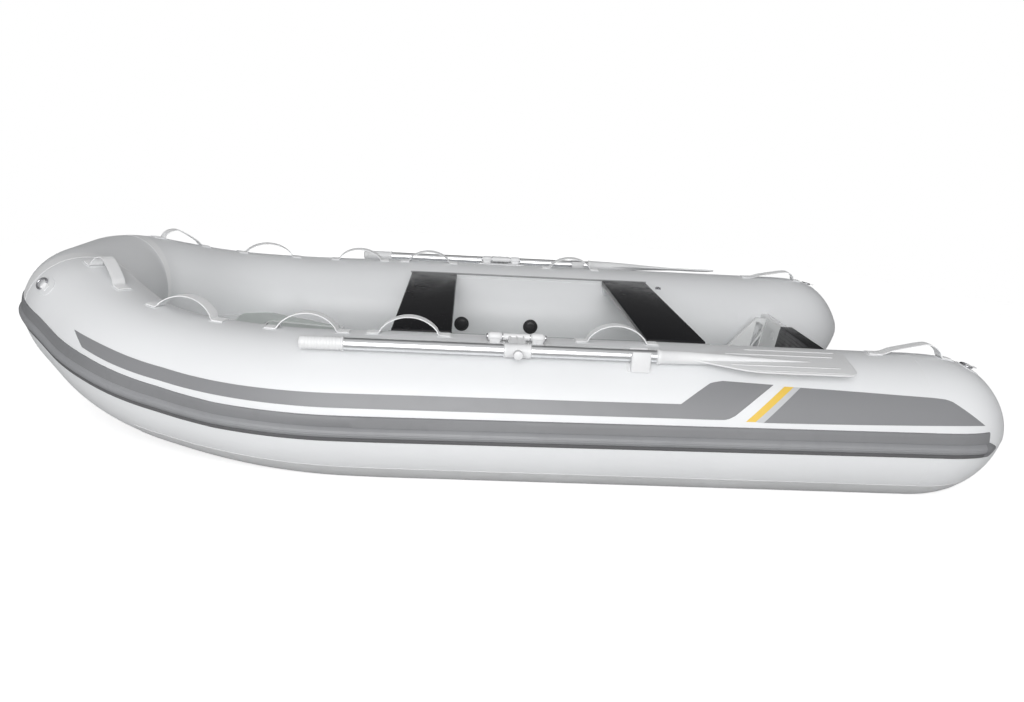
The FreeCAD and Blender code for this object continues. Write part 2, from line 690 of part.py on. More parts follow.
def handle(front, back, crown, height):
    """A grab handle: the loop between its feet and a flat pad beyond each foot."""
    angle = HANDLE_ANGLE
    ends = [on_skin(along, angle, SKIN_GAP) for along in (front, back)]
    ahead = ends[0].Base - ends[1].Base
    up = ends[0].Rotation.multVec(Vector(0, 0, 1)) + ends[1].Rotation.multVec(Vector(0, 0, 1))
    level = up.cross(ahead).normalize()
    forward = Vector(ahead).normalize()
    lifted = forward.cross(level)
    middle = (ends[0].Base + ends[1].Base) * 0.5
    loop = strap(ahead.Length, crown, height)
    loop.Placement = FreeCAD.Placement(FreeCAD.Matrix(
        forward.x, level.x, lifted.x, middle.x,
        forward.y, level.y, lifted.y, middle.y,
        forward.z, level.z, lifted.z, middle.z,
        0, 0, 0, 1))
    pads = []
    for along, side in ((front, 1), (back, -1)):
        pad = Part.makeBox(STRAP_PAD, STRAP_WIDTH, STRAP_THICKNESS, Vector(-STRAP_PAD / 2, -STRAP_WIDTH / 2, 0))
        pad.Placement = on_skin(along + side * (STRAP_PAD / 2 - STRAP_OVERLAP), angle, SKIN_GAP)
        pads.append(pad)
    return loop.fuse(pads)


def make_handles():
    """Six webbing grab handles on top of each side of the tube."""
    port = []
    for end, from_end, to_end, crown, height in HANDLES:
        front, back = handle_feet(end, from_end, to_end)
        port.append(clear_of_tubes(handle(front, back, crown, height)))
    save("grab_handles_port", Part.makeCompound(port))
    save("grab_handles_starboard", Part.makeCompound([mirrored(loop) for loop in port]))


def make_valves():
    """Two screw-cap inflation valves on the inboard side of each tube."""
    inner = SPREAD - TUBE_RADIUS
    port = []
    for x in VALVES:
        cap = rod(Vector(x, inner - VALVE_HEIGHT, AXIS_HEIGHT), Vector(0, 1, 0), 2 * VALVE_HEIGHT, VALVE_RADIUS)
        port.append(clear_of_tubes(cap))
    save("inflation_valves_port", Part.makeCompound(port))
    save("inflation_valves_starboard", Part.makeCompound([mirrored(cap) for cap in port]))


def towing_ring(along, degrees):
    """A D ring lying on its round patch, in place on the tube."""
    low = -RING_PATCH_RADIUS
    patch = rod(Vector(0, 0, low), Vector(0, 0, 1), RING_PATCH_THICKNESS - low, RING_PATCH_RADIUS)
    ring = Part.makeTorus(RING_RADIUS, RING_WIRE, Vector(0, 0, RING_PATCH_THICKNESS + RING_WIRE * 0.8))
    whole = patch.fuse(ring)
    whole.Placement = on_skin(along, degrees, SKIN_GAP)
    return clear_of_tubes(whole)


def make_rings():
    """A towing ring on each shoulder of the bow and on each stern cone."""
    for name, start, distance, degrees in RINGS:
        along = HALF_RUN - distance if start == "stem" else -distance
        ring = towing_ring(along, degrees)
        save(name + "_port", ring)
        save(name + "_starboard", mirrored(ring))


# ---- Oars, rowlocks and clips ----

def rod_along(x0, x1, y, z, radius):
    """A round bar along X between two stations."""
    return rod(Vector(x0, y, z), Vector(1, 0, 0), x1 - x0, radius)


def blade_shape():
    """A flat blade with a rounded tip on a round socket, tilted about the oar's centre."""
    neck_x = SOCKET_FRONT_X - SOCKET_LENGTH
    wide_x = neck_x - BLADE_FLARE
    half = BLADE_WIDTH / 2
    corner = BLADE_CORNER
    low = -BLADE_THICKNESS / 2
    side = [
        Vector(neck_x, BLADE_NECK / 2, low),
        Vector(wide_x, half, low),
        Vector(BLADE_TIP_X + corner, half, low),
    ]
    tip = Vector(BLADE_TIP_X, half - corner, low)
    mid = Vector(BLADE_TIP_X + corner * (1 - math.sqrt(0.5)), half - corner * (1 - math.sqrt(0.5)), low)

    def flip(point):
        return Vector(point.x, -point.y, point.z)

    edges = [
        Part.LineSegment(side[0], side[1]).toShape(),
        Part.LineSegment(side[1], side[2]).toShape(),
        Part.Arc(side[2], mid, tip).toShape(),
        Part.LineSegment(tip, flip(tip)).toShape(),
        Part.Arc(flip(tip), flip(mid), flip(side[2])).toShape(),
        Part.LineSegment(flip(side[2]), flip(side[1])).toShape(),
        Part.LineSegment(flip(side[1]), flip(side[0])).toShape(),
        Part.LineSegment(flip(side[0]), side[0]).toShape(),
    ]
    plate = Part.Face(Part.Wire(edges)).extrude(Vector(0, 0, BLADE_THICKNESS))
    spine_end = wide_x - BLADE_FLARE
    spine = Part.makeCone(
        BLADE_THICKNESS, SOCKET_RADIUS, neck_x - spine_end, Vector(spine_end, 0, 0), Vector(1, 0, 0))
    socket = rod_along(neck_x, SOCKET_FRONT_X, 0, 0, SOCKET_RADIUS)
    bore = rod_along(SHAFT_BACK_X - SKIN_GAP, SOCKET_FRONT_X + 1, 0, 0, SHAFT_RADIUS + SKIN_GAP)
    blade = plate.fuse([spine, socket]).cut(bore)
    blade.rotate(Vector(0, 0, 0), Vector(1, 0, 0), -BLADE_TILT)
    blade.translate(Vector(0, OAR_Y, OAR_Z))
    return blade


def make_oars():
    """One oar along the top of each tube: shaft, grip, blade and the rowlock collar."""
    shaft = rod_along(SHAFT_BACK_X, SHAFT_FRONT_X, OAR_Y, OAR_Z, SHAFT_RADIUS)
    grip = rod_along(SHAFT_FRONT_X, GRIP_FRONT_X, OAR_Y, OAR_Z, GRIP_RADIUS)
    x0 = ROWLOCK_X - COLLAR_LENGTH / 2
    x1 = ROWLOCK_X + COLLAR_LENGTH / 2
    ring = rod_along(x0, x1, OAR_Y, OAR_Z, COLLAR_RADIUS)
    barrel = rod_along(x0, x1, ROWLOCK_Y, ROWLOCK_Z, BARREL_RADIUS)
    reach = Vector(0, OAR_Y - ROWLOCK_Y, OAR_Z - ROWLOCK_Z)
    arm = Part.makeBox(COLLAR_LENGTH, reach.Length, ARM_THICKNESS, Vector(0, 0, -ARM_THICKNESS / 2))
    arm.rotate(Vector(0, 0, 0), Vector(1, 0, 0), math.degrees(math.atan2(reach.z, reach.y)))
    arm.translate(Vector(x0, ROWLOCK_Y, ROWLOCK_Z))
    knob = rod(Vector(ROWLOCK_X, OAR_Y, OAR_Z), Vector(0, 1, 0), KNOB_REACH, KNOB_RADIUS)
    bore = rod_along(x0 - 1, x1 + 1, OAR_Y, OAR_Z, SHAFT_RADIUS + SKIN_GAP)
    eye = rod_along(x0 - 1, x1 + 1, ROWLOCK_Y, ROWLOCK_Z, ROWLOCK_PIN + ROWLOCK_PIN_GAP)
    collar = ring.fuse([barrel, arm, knob]).cut(bore.fuse(eye))
    pieces = [("oar_shaft", shaft), ("oar_grip", grip), ("oar_blade", blade_shape()), ("oar_collar", collar)]
    for name, piece in pieces:
        save(name + "_port", piece)
        save(name + "_starboard", mirrored(piece))


def make_rowlocks():
    """The rowlock base with its two lugs and pin, and the clip that holds the oar aft."""
    inner = COLLAR_LENGTH / 2 + COLLAR_GAP
    outer = inner + LUG_LENGTH
    drop = 60.0
    middle = ROWLOCK_Y + BASE_OUTBOARD
    top = ROWLOCK_Z - BASE_UNDER_PIN
    edge = middle - BASE_HALF_WIDTH
    web = box(ROWLOCK_X - outer, ROWLOCK_X + outer, edge, ROWLOCK_Y + BARREL_RADIUS, top - drop, top)
    pieces = [rod_along(ROWLOCK_X - outer, ROWLOCK_X + outer, ROWLOCK_Y, ROWLOCK_Z, ROWLOCK_PIN)]
    for side in (-1, 1):
        low, high = sorted((ROWLOCK_X + side * inner, ROWLOCK_X + side * outer))
        pieces.append(box(low, high, edge, middle + BASE_HALF_WIDTH, top - drop, top))
        pieces.append(rod_along(low, high, ROWLOCK_Y, ROWLOCK_Z, LUG_RADIUS))
        pieces.append(box(low, high, ROWLOCK_Y - LUG_RADIUS, ROWLOCK_Y + LUG_RADIUS, top, ROWLOCK_Z))
    base = clear_of_tubes(web.fuse(pieces).removeSplitter())
    half = SHAFT_RADIUS + CLIP_ROOM
    x0 = CLIP_X - CLIP_LENGTH / 2
    x1 = CLIP_X + CLIP_LENGTH / 2
    clip = box(
        x0, x1, OAR_Y - half - CLIP_WALL, OAR_Y + half + CLIP_WALL,
        OAR_Z - drop, OAR_Z + CLIP_WALL_TOP)
    clip = clip.cut(box(x0, x1, OAR_Y - half, OAR_Y + half, OAR_Z, OAR_Z + drop))
    clip = clip.cut(rod_along(x0, x1, OAR_Y, OAR_Z, SHAFT_RADIUS + CLIP_REST))
    trim = Part.makeCylinder(tube_radius(0) - CLIP_WALL, CLIP_LENGTH, Vector(x0, SPREAD, AXIS_HEIGHT), Vector(1, 0, 0))
    clip = clear_of_tubes(clip.cut(trim))
    save("rowlock_base_port", base)
    save("rowlock_base_starboard", mirrored(base))
    save("oar_clip_port", clip)
    save("oar_clip_starboard", mirrored(clip))


os.makedirs("parts", exist_ok=True)
make_tubes()
make_strakes()
make_hull()
make_transom()
make_locker()
make_thwarts()
make_handles()
make_valves()
make_rings()
make_oars()
make_rowlocks()
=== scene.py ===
"""The inflatable tender as it looks: fabric tubes, rubber strake, moulded hull, seats and oars.

Metres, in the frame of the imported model: +X to the bow, +Y to port and +Z up, with the
waterline at z = 0.
"""

import json
import logging
import math
from dataclasses import dataclass, field
from enum import Enum
from typing import Callable, Optional, Sequence

import bpy
from mathutils import Matrix, Vector


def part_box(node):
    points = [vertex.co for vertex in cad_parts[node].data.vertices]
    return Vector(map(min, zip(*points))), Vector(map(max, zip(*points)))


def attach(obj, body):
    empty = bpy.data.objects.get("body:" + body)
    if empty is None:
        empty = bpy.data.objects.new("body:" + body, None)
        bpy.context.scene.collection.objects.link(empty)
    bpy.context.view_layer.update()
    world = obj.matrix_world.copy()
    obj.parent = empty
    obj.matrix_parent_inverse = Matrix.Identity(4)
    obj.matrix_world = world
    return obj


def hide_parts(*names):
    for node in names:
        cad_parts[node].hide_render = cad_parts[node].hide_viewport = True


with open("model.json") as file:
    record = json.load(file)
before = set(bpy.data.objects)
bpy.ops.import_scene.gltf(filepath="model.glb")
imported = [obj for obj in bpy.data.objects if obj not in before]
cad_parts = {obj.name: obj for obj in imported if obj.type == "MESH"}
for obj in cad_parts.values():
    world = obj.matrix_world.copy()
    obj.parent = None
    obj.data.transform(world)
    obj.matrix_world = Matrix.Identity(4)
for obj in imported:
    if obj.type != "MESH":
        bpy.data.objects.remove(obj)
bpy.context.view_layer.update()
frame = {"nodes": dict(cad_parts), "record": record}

log = logging.getLogger("tender")

Piece = bpy.types.Object
Socket = bpy.types.NodeSocket
Place = Callable[[float, float], Vector]
Colour = tuple[float, float, float]
Row = tuple[float, float]
Rows = Sequence[Row]

# Points nearer than a weld are merged, and edges sharper than these degrees stay crisp.
WELD, FINE_WELD, TINY = 1e-5, 1e-6, 1e-12
CREASE, SHARP, SOFT = 30.0, 35.0, 40.0
# How far a glued piece sinks into what it lies on, and how far a cutter passes a face.
EMBED, CLEAR = 0.001, 0.01

ORIGIN = Vector((0.0, 0.0, 0.0))
UP = Vector((0.0, 0.0, 1.0))
FORWARD = Vector((1.0, 0.0, 0.0))
OUTBOARD = Vector((0.0, 1.0, 0.0))
MIRROR = Matrix.Scale(-1.0, 4, OUTBOARD)


def mix(a: float, b: float, share: float) -> float:
    """A value part of the way from a to b."""
    return a + (b - a) * share


def spread(low: float, high: float, count: int) -> list[float]:
    """Values at even steps from low to high, with both ends."""
    return [mix(low, high, i / count) for i in range(count + 1)]


def along_table(table: Rows, at: float) -> float:
    """A value read from a table of (place, value), straight between its rows.

    Args:
        table: rows in rising order of place.
        at: the place to read.

    Returns:
        The value there, held at the ends of the table.
    """
    if at <= table[0][0]:
        return table[0][1]
    for (low, first), (high, last) in zip(table, table[1:]):
        if at <= high:
            return mix(first, last, (at - low) / (high - low))
    return table[-1][1]


# ---- mesh tools


def clear() -> None:
    """Leaves nothing selected."""
    bpy.ops.object.select_all(action="DESELECT")


def hold(piece: Piece) -> None:
    """Makes a piece the only one selected and the active one."""
    clear()
    piece.select_set(True)
    bpy.context.view_layer.objects.active = piece


def named(name: str) -> Piece:
    """Names the piece just added, and its mesh.

    Args:
        name: the piece's name.

    Returns:
        The piece.
    """
    piece = bpy.context.active_object
    piece.name = name
    piece.data.name = name
    return piece


def sheet(
    name: str, columns: int, rows: int, place: Place,
    number: Optional[Callable[[float, float], int]] = None
) -> Piece:
    """A flat grid laid over a surface.

    Args:
        name: the piece's name.
        columns: faces from u = 0 to 1.
        rows: faces from v = 0 to 1.
        place: gives the point for u and v.
        number: gives the finish number of the face at u and v.

    Returns:
        The piece, with its own UV map from the flat grid.
    """
    clear()
    bpy.ops.mesh.primitive_grid_add(x_subdivisions=columns, y_subdivisions=rows, size=2.0)
    piece = named(name)
    if number:
        for face in piece.data.polygons:
            face.material_index = number((face.center.x + 1.0) / 2.0, (face.center.y + 1.0) / 2.0)
    for vertex in piece.data.vertices:
        vertex.co = place((vertex.co.x + 1.0) / 2.0, (vertex.co.y + 1.0) / 2.0)
    return piece


def mend(piece: Piece, gap: float = WELD, fill: bool = False, outward: bool = True) -> None:
    """Merges points that meet, may fill the open ends, and turns every face outwards.

    Args:
        piece: the piece.
        gap: points nearer than this are merged.
        fill: whether the open ends are filled.
        outward: whether the faces are turned outwards.
    """
    hold(piece)
    bpy.ops.object.mode_set(mode="EDIT")
    bpy.ops.mesh.select_all(action="SELECT")
    bpy.ops.mesh.remove_doubles(threshold=gap)
    if fill:
        bpy.ops.mesh.fill_holes(sides=0)
        bpy.ops.mesh.select_all(action="SELECT")
    if outward:
        bpy.ops.mesh.normals_make_consistent(inside=False)
    bpy.ops.object.mode_set(mode="OBJECT")


def plate(name: str, points: Sequence[Sequence[float]], sweep: Sequence[float]) -> Piece:
    """A flat outline extruded along a vector.

    Args:
        name: the piece's name.
        points: the outline's corners in order.
        sweep: how far and which way it is extruded.

    Returns:
        The closed piece.
    """
    clear()
    bpy.ops.mesh.primitive_circle_add(vertices=len(points), radius=1.0, fill_type="NGON")
    piece = named(name)
    for vertex, point in zip(piece.data.vertices, points):
        vertex.co = point
    bpy.ops.object.mode_set(mode="EDIT")
    bpy.ops.mesh.select_all(action="SELECT")
    bpy.ops.mesh.extrude_region_move(TRANSFORM_OT_translate={"value": tuple(sweep)})
    bpy.ops.object.mode_set(mode="OBJECT")
    mend(piece, FINE_WELD)
    return piece


def cut(piece: Piece, cutter: Piece) -> None:
    """Cuts one closed piece out of another and removes the cutter."""
    apply(piece, "BOOLEAN", operation="DIFFERENCE", solver="EXACT", object=cutter)
    bpy.data.objects.remove(cutter, do_unlink=True)


def apply(piece: Piece, kind: str, **settings: object) -> None:
    """Adds a modifier with its settings and applies it.

    Args:
        piece: the piece.
        kind: the modifier's kind.
        settings: its settings by name.
    """
    hold(piece)
    modifier = piece.modifiers.new(kind.title(), kind)
    for setting, value in settings.items():
        setattr(modifier, setting, value)
    bpy.ops.object.modifier_apply(modifier=modifier.name)


def skinned(
    name: str, columns: int, rows: int, place: Place, degrees: float,
    number: Optional[Callable[[float, float], int]] = None
) -> Piece:
    """A sheet laid over a surface and closed into a piece, shaded smooth below an angle."""
    piece = sheet(name, columns, rows, place, number)
    mend(piece, fill=True)
    smooth(piece, degrees)
    return piece


def thicken(piece: Piece, thickness: float) -> None:
    """Gives a sheet its thickness, on the side away from its normals."""
    apply(piece, "SOLIDIFY", thickness=thickness, offset=-1.0, use_even_offset=False)


def wall(piece: Piece, thickness: float, degrees: float) -> None:
    """Turns a sheet into a closed wall, shaded smooth below an angle.

    Args:
        piece: the sheet.
        thickness: of the wall, on the side away from the sheet's normals.
        degrees: edges sharper than this stay crisp.
    """
    thicken(piece, thickness)
    mend(piece)
    smooth(piece, degrees)


def ease(piece: Piece, width: float, segments: int, degrees: float = SHARP) -> None:
    """Rounds off the edges that are sharper than an angle."""
    apply(
        piece, "BEVEL", width=width, segments=segments, limit_method="ANGLE",
        angle_limit=math.radians(degrees), use_clamp_overlap=True)


def smooth(piece: Piece, degrees: float = SOFT) -> None:
    """Shades a piece smooth, with its sharper edges left crisp."""
    hold(piece)
    bpy.ops.object.shade_smooth_by_angle(angle=math.radians(degrees))


def block(name: str, low: Sequence[float], high: Sequence[float]) -> Piece:
    """A cube primitive between two corners, with its place in its mesh.

    Args:
        name: the piece's name.
        low: its lowest corner.
        high: its highest corner.

    Returns:
        The piece.
    """
    clear()
    bpy.ops.mesh.primitive_cube_add(size=1.0)
    piece = named(name)
    lows, highs = Vector(low), Vector(high)
    size = highs - lows
    piece.data.transform(Matrix.Translation((lows + highs) / 2) @ Matrix.Diagonal((*size, 1.0)))
    return piece


def eased(
    name: str, low: Sequence[float], high: Sequence[float], width: float, segments: int = 2,
    degrees: float = SHARP
) -> Piece:
    """A block with its edges rounded off."""
    piece = block(name, low, high)
    ease(piece, width, segments, degrees)
    return piece


def turned(name: str, profile: Rows, sides: int = 40) -> Piece:
    """A lathe-turned shape about Z, drawn up ring by ring from a disc.

    Args:
        name: the piece's name.
        profile: rows of (height, radius) from the lower face to the upper one.
        sides: points in each ring.

    Returns:
        The closed piece.
    """
    clear()
    height, radius = profile[0]
    bpy.ops.mesh.primitive_circle_add(
        vertices=sides, radius=radius, fill_type="NGON", location=(0.0, 0.0, height))
    piece = named(name)
    bpy.ops.object.mode_set(mode="EDIT")
    bpy.ops.mesh.select_all(action="SELECT")
    for next_height, next_radius in profile[1:]:
        bpy.ops.mesh.extrude_region_move(
            TRANSFORM_OT_translate={"value": (0.0, 0.0, next_height - height)})
        factor = next_radius / radius
        bpy.ops.transform.resize(value=(factor, factor, 1.0), center_override=(0.0, 0.0, 0.0))
        height, radius = next_height, next_radius
    bpy.ops.mesh.select_all(action="SELECT")
    bpy.ops.mesh.normals_make_consistent(inside=False)
    bpy.ops.object.mode_set(mode="OBJECT")
    bpy.context.view_layer.update()
    piece.data.transform(piece.matrix_world)
    piece.matrix_world = Matrix.Identity(4)
    return piece


def stand(piece: Piece, foot: Vector, axis: Vector, turn: Vector = FORWARD) -> None:
    """Stands a piece made about Z on a foot, along an axis.

    Args:
        piece: the piece, made at the origin.
        foot: where its origin goes.
        axis: where its Z goes.
        turn: the way its X points, as nearly as the axis allows.
    """
    along = axis.normalized()
    across = (turn - along * turn.dot(along))
    if across.length < 1e-6:
        across = OUTBOARD - along * OUTBOARD.dot(along)
    across.normalize()
    side = along.cross(across)
    seat = Matrix((across, side, along)).transposed().to_4x4()
    seat.translation = foot
    piece.data.transform(seat)


def join(name: str, pieces: Sequence[Piece]) -> Piece:
    """Joins pieces into the first one.

    Args:
        name: the name of the joined piece.
        pieces: what to join.

    Returns:
        The joined piece.
    """
    clear()
    for piece in pieces:
        piece.select_set(True)
    bpy.context.view_layer.objects.active = pieces[0]
    if len(pieces) > 1:
        bpy.ops.object.join()
    return named(name)


def copy(piece: Piece, name: str, matrix: Matrix) -> Piece:
    """A copy with its own mesh, moved by a matrix, its faces still outwards.

    Args:
        piece: the piece.
        name: the copy's name.
        matrix: moves the copy.

    Returns:
        The copy.
    """
    double = piece.copy()
    double.data = piece.data.copy()
    double.name = double.data.name = name
    bpy.context.scene.collection.objects.link(double)
    double.data.transform(matrix)
    if matrix.determinant() < 0:
        double.data.flip_normals()
    return double


# ---- shaders


class Net:
    """A node tree being wired up."""

    def __init__(self, tree: bpy.types.NodeTree) -> None:
        """Starts on a tree, with no named ends yet."""
        self.tree = tree
        self.ins: dict[str, Socket] = {}
        self.outs: dict[str, Socket] = {}

    def add(self, kind: str, **settings: object) -> bpy.types.Node:
        """Adds a node with its settings."""
        node = self.tree.nodes.new(kind)
        for setting, value in settings.items():
            setattr(node, setting, value)
        return node

    def join(self, source: Socket, target: Socket) -> None:
        """Links an output to an input."""
        self.tree.links.new(source, target)

    def feed(self, socket: Socket, term: object) -> None:
        """Gives an input a link, a colour or a number.

        Args:
            socket: the input.
            term: an output to link, a colour, or a number.
        """
        if isinstance(term, Socket):
            self.join(term, socket)
        elif isinstance(term, tuple):
            socket.default_value = (*term, 1.0)
        else:
            socket.default_value = term

    def choose(self, share: Socket, first: bpy.types.Node, second: bpy.types.Node) -> bpy.types.Node:
        """A shader mixed from two."""
        node = self.add("ShaderNodeMixShader")
        for socket, source in zip(node.inputs, (share, first.outputs[0], second.outputs[0])):
            self.join(source, socket)
        return node

    def sum(self, operation: str, *terms: object) -> Socket:
        """A maths node on numbers or sockets.

        Args:
            operation: the node's operation.
            terms: its inputs in order.

        Returns:
            Its result.
        """
        node = self.add("ShaderNodeMath", operation=operation)
        for socket, term in zip(node.inputs, terms):
            self.feed(socket, term)
        return node.outputs[0]

    def noise(self, scale: object, detail: float) -> Socket:
        """Noise over the group's vector at a scale, as a value round a half.

        Args:
            scale: its scale.
            detail: how many finer layers it has.

        Returns:
            Its value.
        """
        node = self.add("ShaderNodeTexNoise")
        node.inputs["Detail"].default_value = detail
        self.join(self.ins["Vector"], node.inputs["Vector"])
        self.feed(node.inputs["Scale"], scale)
        return node.outputs["Fac"]

    def blend(self, share: object, first: object, second: object) -> Socket:
        """A colour mixed from two, which may be colours or sockets."""
        node = self.add("ShaderNodeMix", data_type="RGBA")
        for number, term in ((0, share), (6, first), (7, second)):
            self.feed(node.inputs[number], term)
        return node.outputs[2]

    def ramp(self, value: Socket, low: float, high: float) -> Socket:
        """A value spread so that low gives 0 and high gives 1, held outside.

        Args:
            value: what is spread.
            low: what gives 0.
            high: what gives 1.

        Returns:
            The spread value.
        """
        node = self.add("ShaderNodeMapRange")
        self.join(value, node.inputs[0])
        node.inputs[1].default_value = low
        node.inputs[2].default_value = high
        return node.outputs[0]

    def object_place(self, stretch: Sequence[float] = (1.0, 1.0, 1.0)) -> Socket:
        """Object coordinates, stretched along the axes.

        Args:
            stretch: how many times closer the pattern is along each axis.

        Returns:
            The coordinates.
        """
        source = self.add("ShaderNodeTexCoord")
        if tuple(stretch) == (1.0, 1.0, 1.0):
            return source.outputs["Object"]
        mapping = self.add("ShaderNodeMapping")
        self.join(source.outputs["Object"], mapping.inputs["Vector"])
        mapping.inputs["Scale"].default_value = stretch
        return mapping.outputs["Vector"]


FINE_DETAIL, BROAD_DETAIL, MARK_DETAIL, BRUSH_DETAIL = 2.0, 4.0, 8.0, 5.0
MOTTLE_SCALE = 2.6
MOTTLE_BAND = (0.3, 0.7)
MARK_BAND = (0.52, 0.74)
WEAVE_BAND = (0.2, 0.9)
BRUSH_BAND = (0.35, 0.65)
WORN_SHADE = 1.6
WORN_ROUGHNESS = 0.35
# Painted shade in the gaps between woven threads, as a share of the tape's colour.
THREAD_GAP_SHADE = 0.88


class Effect(Enum):
    """The shader groups that several finishes share."""

    GRAIN = "Coated grain"
    WEAR = "Handling marks"
    WEAVE = "Woven tape"
    BRUSHED = "Brushed metal"


def group_of(
    effect: Effect, ins: Sequence[tuple[str, str, float]], outs: Sequence[tuple[str, str]]
) -> Net:
    """An empty shader group with its sockets and its two end nodes.

    Args:
        effect: which effect.
        ins: name, kind and default of each input.
        outs: name and kind of each output.

    Returns:
        The group, ready to wire.
    """
    tree = bpy.data.node_groups.new(effect.value, "ShaderNodeTree")
    for name, kind, value in ins:
        socket = tree.interface.new_socket(name=name, in_out="INPUT", socket_type=kind)
        if kind == "NodeSocketFloat":
            socket.default_value = value
    for name, kind in outs:
        tree.interface.new_socket(name=name, in_out="OUTPUT", socket_type=kind)
    net = Net(tree)
    net.ins = net.add("NodeGroupInput").outputs
    net.outs = net.add("NodeGroupOutput").inputs
    return net


def build_groups() -> None:
    """Builds every shared effect once."""
    value, vector = "NodeSocketFloat", "NodeSocketVector"
    net = group_of(
        Effect.GRAIN, [("Vector", vector, 0.0), ("Size", value, 900.0)],
        [("Height", value), ("Mottle", value)])
    fine = net.noise(net.ins["Size"], FINE_DETAIL)
    broad = net.noise(MOTTLE_SCALE, BROAD_DETAIL)
    net.join(fine, net.outs["Height"])
    net.join(net.ramp(broad, *MOTTLE_BAND), net.outs["Mottle"])

    net = group_of(
        Effect.WEAR, [("Vector", vector, 0.0), ("Size", value, 30.0), ("Amount", value, 0.3)],
        [("Mask", value)])
    patchy = net.noise(net.ins["Size"], MARK_DETAIL)
    streak = net.ramp(patchy, *MARK_BAND)
    net.join(net.sum("MULTIPLY", streak, net.ins["Amount"]), net.outs["Mask"])

    net = group_of(
        Effect.WEAVE, [
            ("Vector", vector, 0.0), ("Threads along", value, 60.0), ("Threads across", value, 14.0)],
        [("Height", value), ("Mask", value)])
    split = net.add("ShaderNodeSeparateXYZ")
    net.join(net.ins["Vector"], split.inputs[0])
    waves = []
    for axis, threads in ((0, "Threads along"), (1, "Threads across")):
        turns = net.sum(
            "MULTIPLY", net.sum("MULTIPLY", split.outputs[axis], net.ins[threads]), 2.0 * math.pi)
        waves.append(net.sum("SINE", turns))
    crossed = net.sum("MULTIPLY", waves[0], waves[1])
    lifted = net.sum("MULTIPLY_ADD", crossed, 0.5, 0.5)
    net.join(lifted, net.outs["Height"])
    # The mask is 1 on the threads and 0 in the gaps, where the finish paints shade.
    net.join(net.ramp(lifted, *WEAVE_BAND), net.outs["Mask"])

    net = group_of(
        Effect.BRUSHED, [("Vector", vector, 0.0), ("Size", value, 400.0)],
        [("Height", value), ("Streak", value)])
    long = net.noise(net.ins["Size"], BRUSH_DETAIL)
    net.join(long, net.outs["Height"])
    net.join(net.ramp(long, *BRUSH_BAND), net.outs["Streak"])


@dataclass(frozen=True)
class Finish:
    """A surface finish: its colour, gloss, grain and marks.

    Attributes:
        name: the material's name.
        colour: base colour, linear.
        roughness: of the clean surface.
        grain: scale of the fine bump.
        depth: height of that bump, in metres.
        shade: how far the mottling and the marks darken the colour.
        metallic: 1 for bare metal.
        coat: weight of a clear coat.
        specular: strength of the plain reflection.
        sheen: weight of a cloth sheen.
        wear: amount of handling marks.
        wear_size: scale of those marks.
        weave: threads along and across a UV, or none.
        stretch: of the grain along the axes.
    """

    name: str
    colour: Colour
    roughness: float
    grain: float = 900.0
    depth: float = 0.00005
    shade: float = 0.06
    metallic: float = 0.0
    coat: float = 0.0
    specular: float = 0.5
    sheen: float = 0.0
    wear: float = 0.25
    wear_size: float = 22.0
    weave: Optional[Row] = None
    stretch: Colour = (1.0, 1.0, 1.0)

    def material(self) -> bpy.types.Material:
        """The material, built the first time it is asked for.

        Returns:
            The material.
        """
        made = bpy.data.materials.get(self.name)
        if made is None:
            made = bpy.data.materials.new(self.name)
            made.use_nodes = True
            self.wire(Net(made.node_tree))
        return made

    def place(self, net: Net, effect: Effect, vector: Socket, **values: float) -> bpy.types.Node:
        """Puts a shared effect into the material with its own values.

        Args:
            net: the material's net.
            effect: which effect.
            vector: where it is read.
            values: its inputs by name.

        Returns:
            The effect's node.
        """
        node = net.add("ShaderNodeGroup", node_tree=bpy.data.node_groups[effect.value])
        net.join(vector, node.inputs["Vector"])
        for name, value in values.items():
            node.inputs[name.replace("_", " ")].default_value = value
        return node

    def wire(self, net: Net) -> None:
        """Wires the finish into the material's surface shader.

        Args:
            net: the material's net.
        """
        shader = net.tree.nodes["Principled BSDF"]
        plain = {
            "Metallic": self.metallic, "Coat Weight": self.coat, "Specular IOR Level": self.specular,
            "Sheen Weight": self.sheen}
        for name, value in plain.items():
            shader.inputs[name].default_value = value
        where = net.object_place(self.stretch)
        flat = net.object_place()
        kind = Effect.BRUSHED if self.metallic else Effect.GRAIN
        grain = self.place(net, kind, where, Size=self.grain)
        marks = self.place(net, Effect.WEAR, flat, Size=self.wear_size, Amount=self.wear)
        dark = tuple(c * (1.0 - self.shade) for c in self.colour)
        worn = tuple(c * (1.0 - WORN_SHADE * self.shade) for c in self.colour)
        mottle = grain.outputs[1]
        colour = net.blend(mottle, self.colour, dark)
        colour = net.blend(marks.outputs["Mask"], colour, worn)
        height = grain.outputs["Height"]
        if self.weave:
            source = net.add("ShaderNodeTexCoord")
            threads = net.add("ShaderNodeGroup", node_tree=bpy.data.node_groups[Effect.WEAVE.value])
            net.join(source.outputs["UV"], threads.inputs["Vector"])
            threads.inputs["Threads along"].default_value = self.weave[0]
            threads.inputs["Threads across"].default_value = self.weave[1]
            height = threads.outputs["Height"]
            # The gaps between the threads get painted shade.
            colour = net.blend(
                threads.outputs["Mask"], tuple(THREAD_GAP_SHADE * c for c in self.colour), colour)
        net.join(colour, shader.inputs["Base Color"])
        rough = net.sum("MULTIPLY_ADD", marks.outputs["Mask"], WORN_ROUGHNESS, self.roughness)
        net.join(rough, shader.inputs["Roughness"])
        bump = net.add("ShaderNodeBump")
        bump.inputs["Strength"].default_value = 1.0
        bump.inputs["Distance"].default_value = self.depth
        net.join(height, bump.inputs["Height"])
        net.join(bump.outputs["Normal"], shader.inputs["Normal"])


# ---- finishes

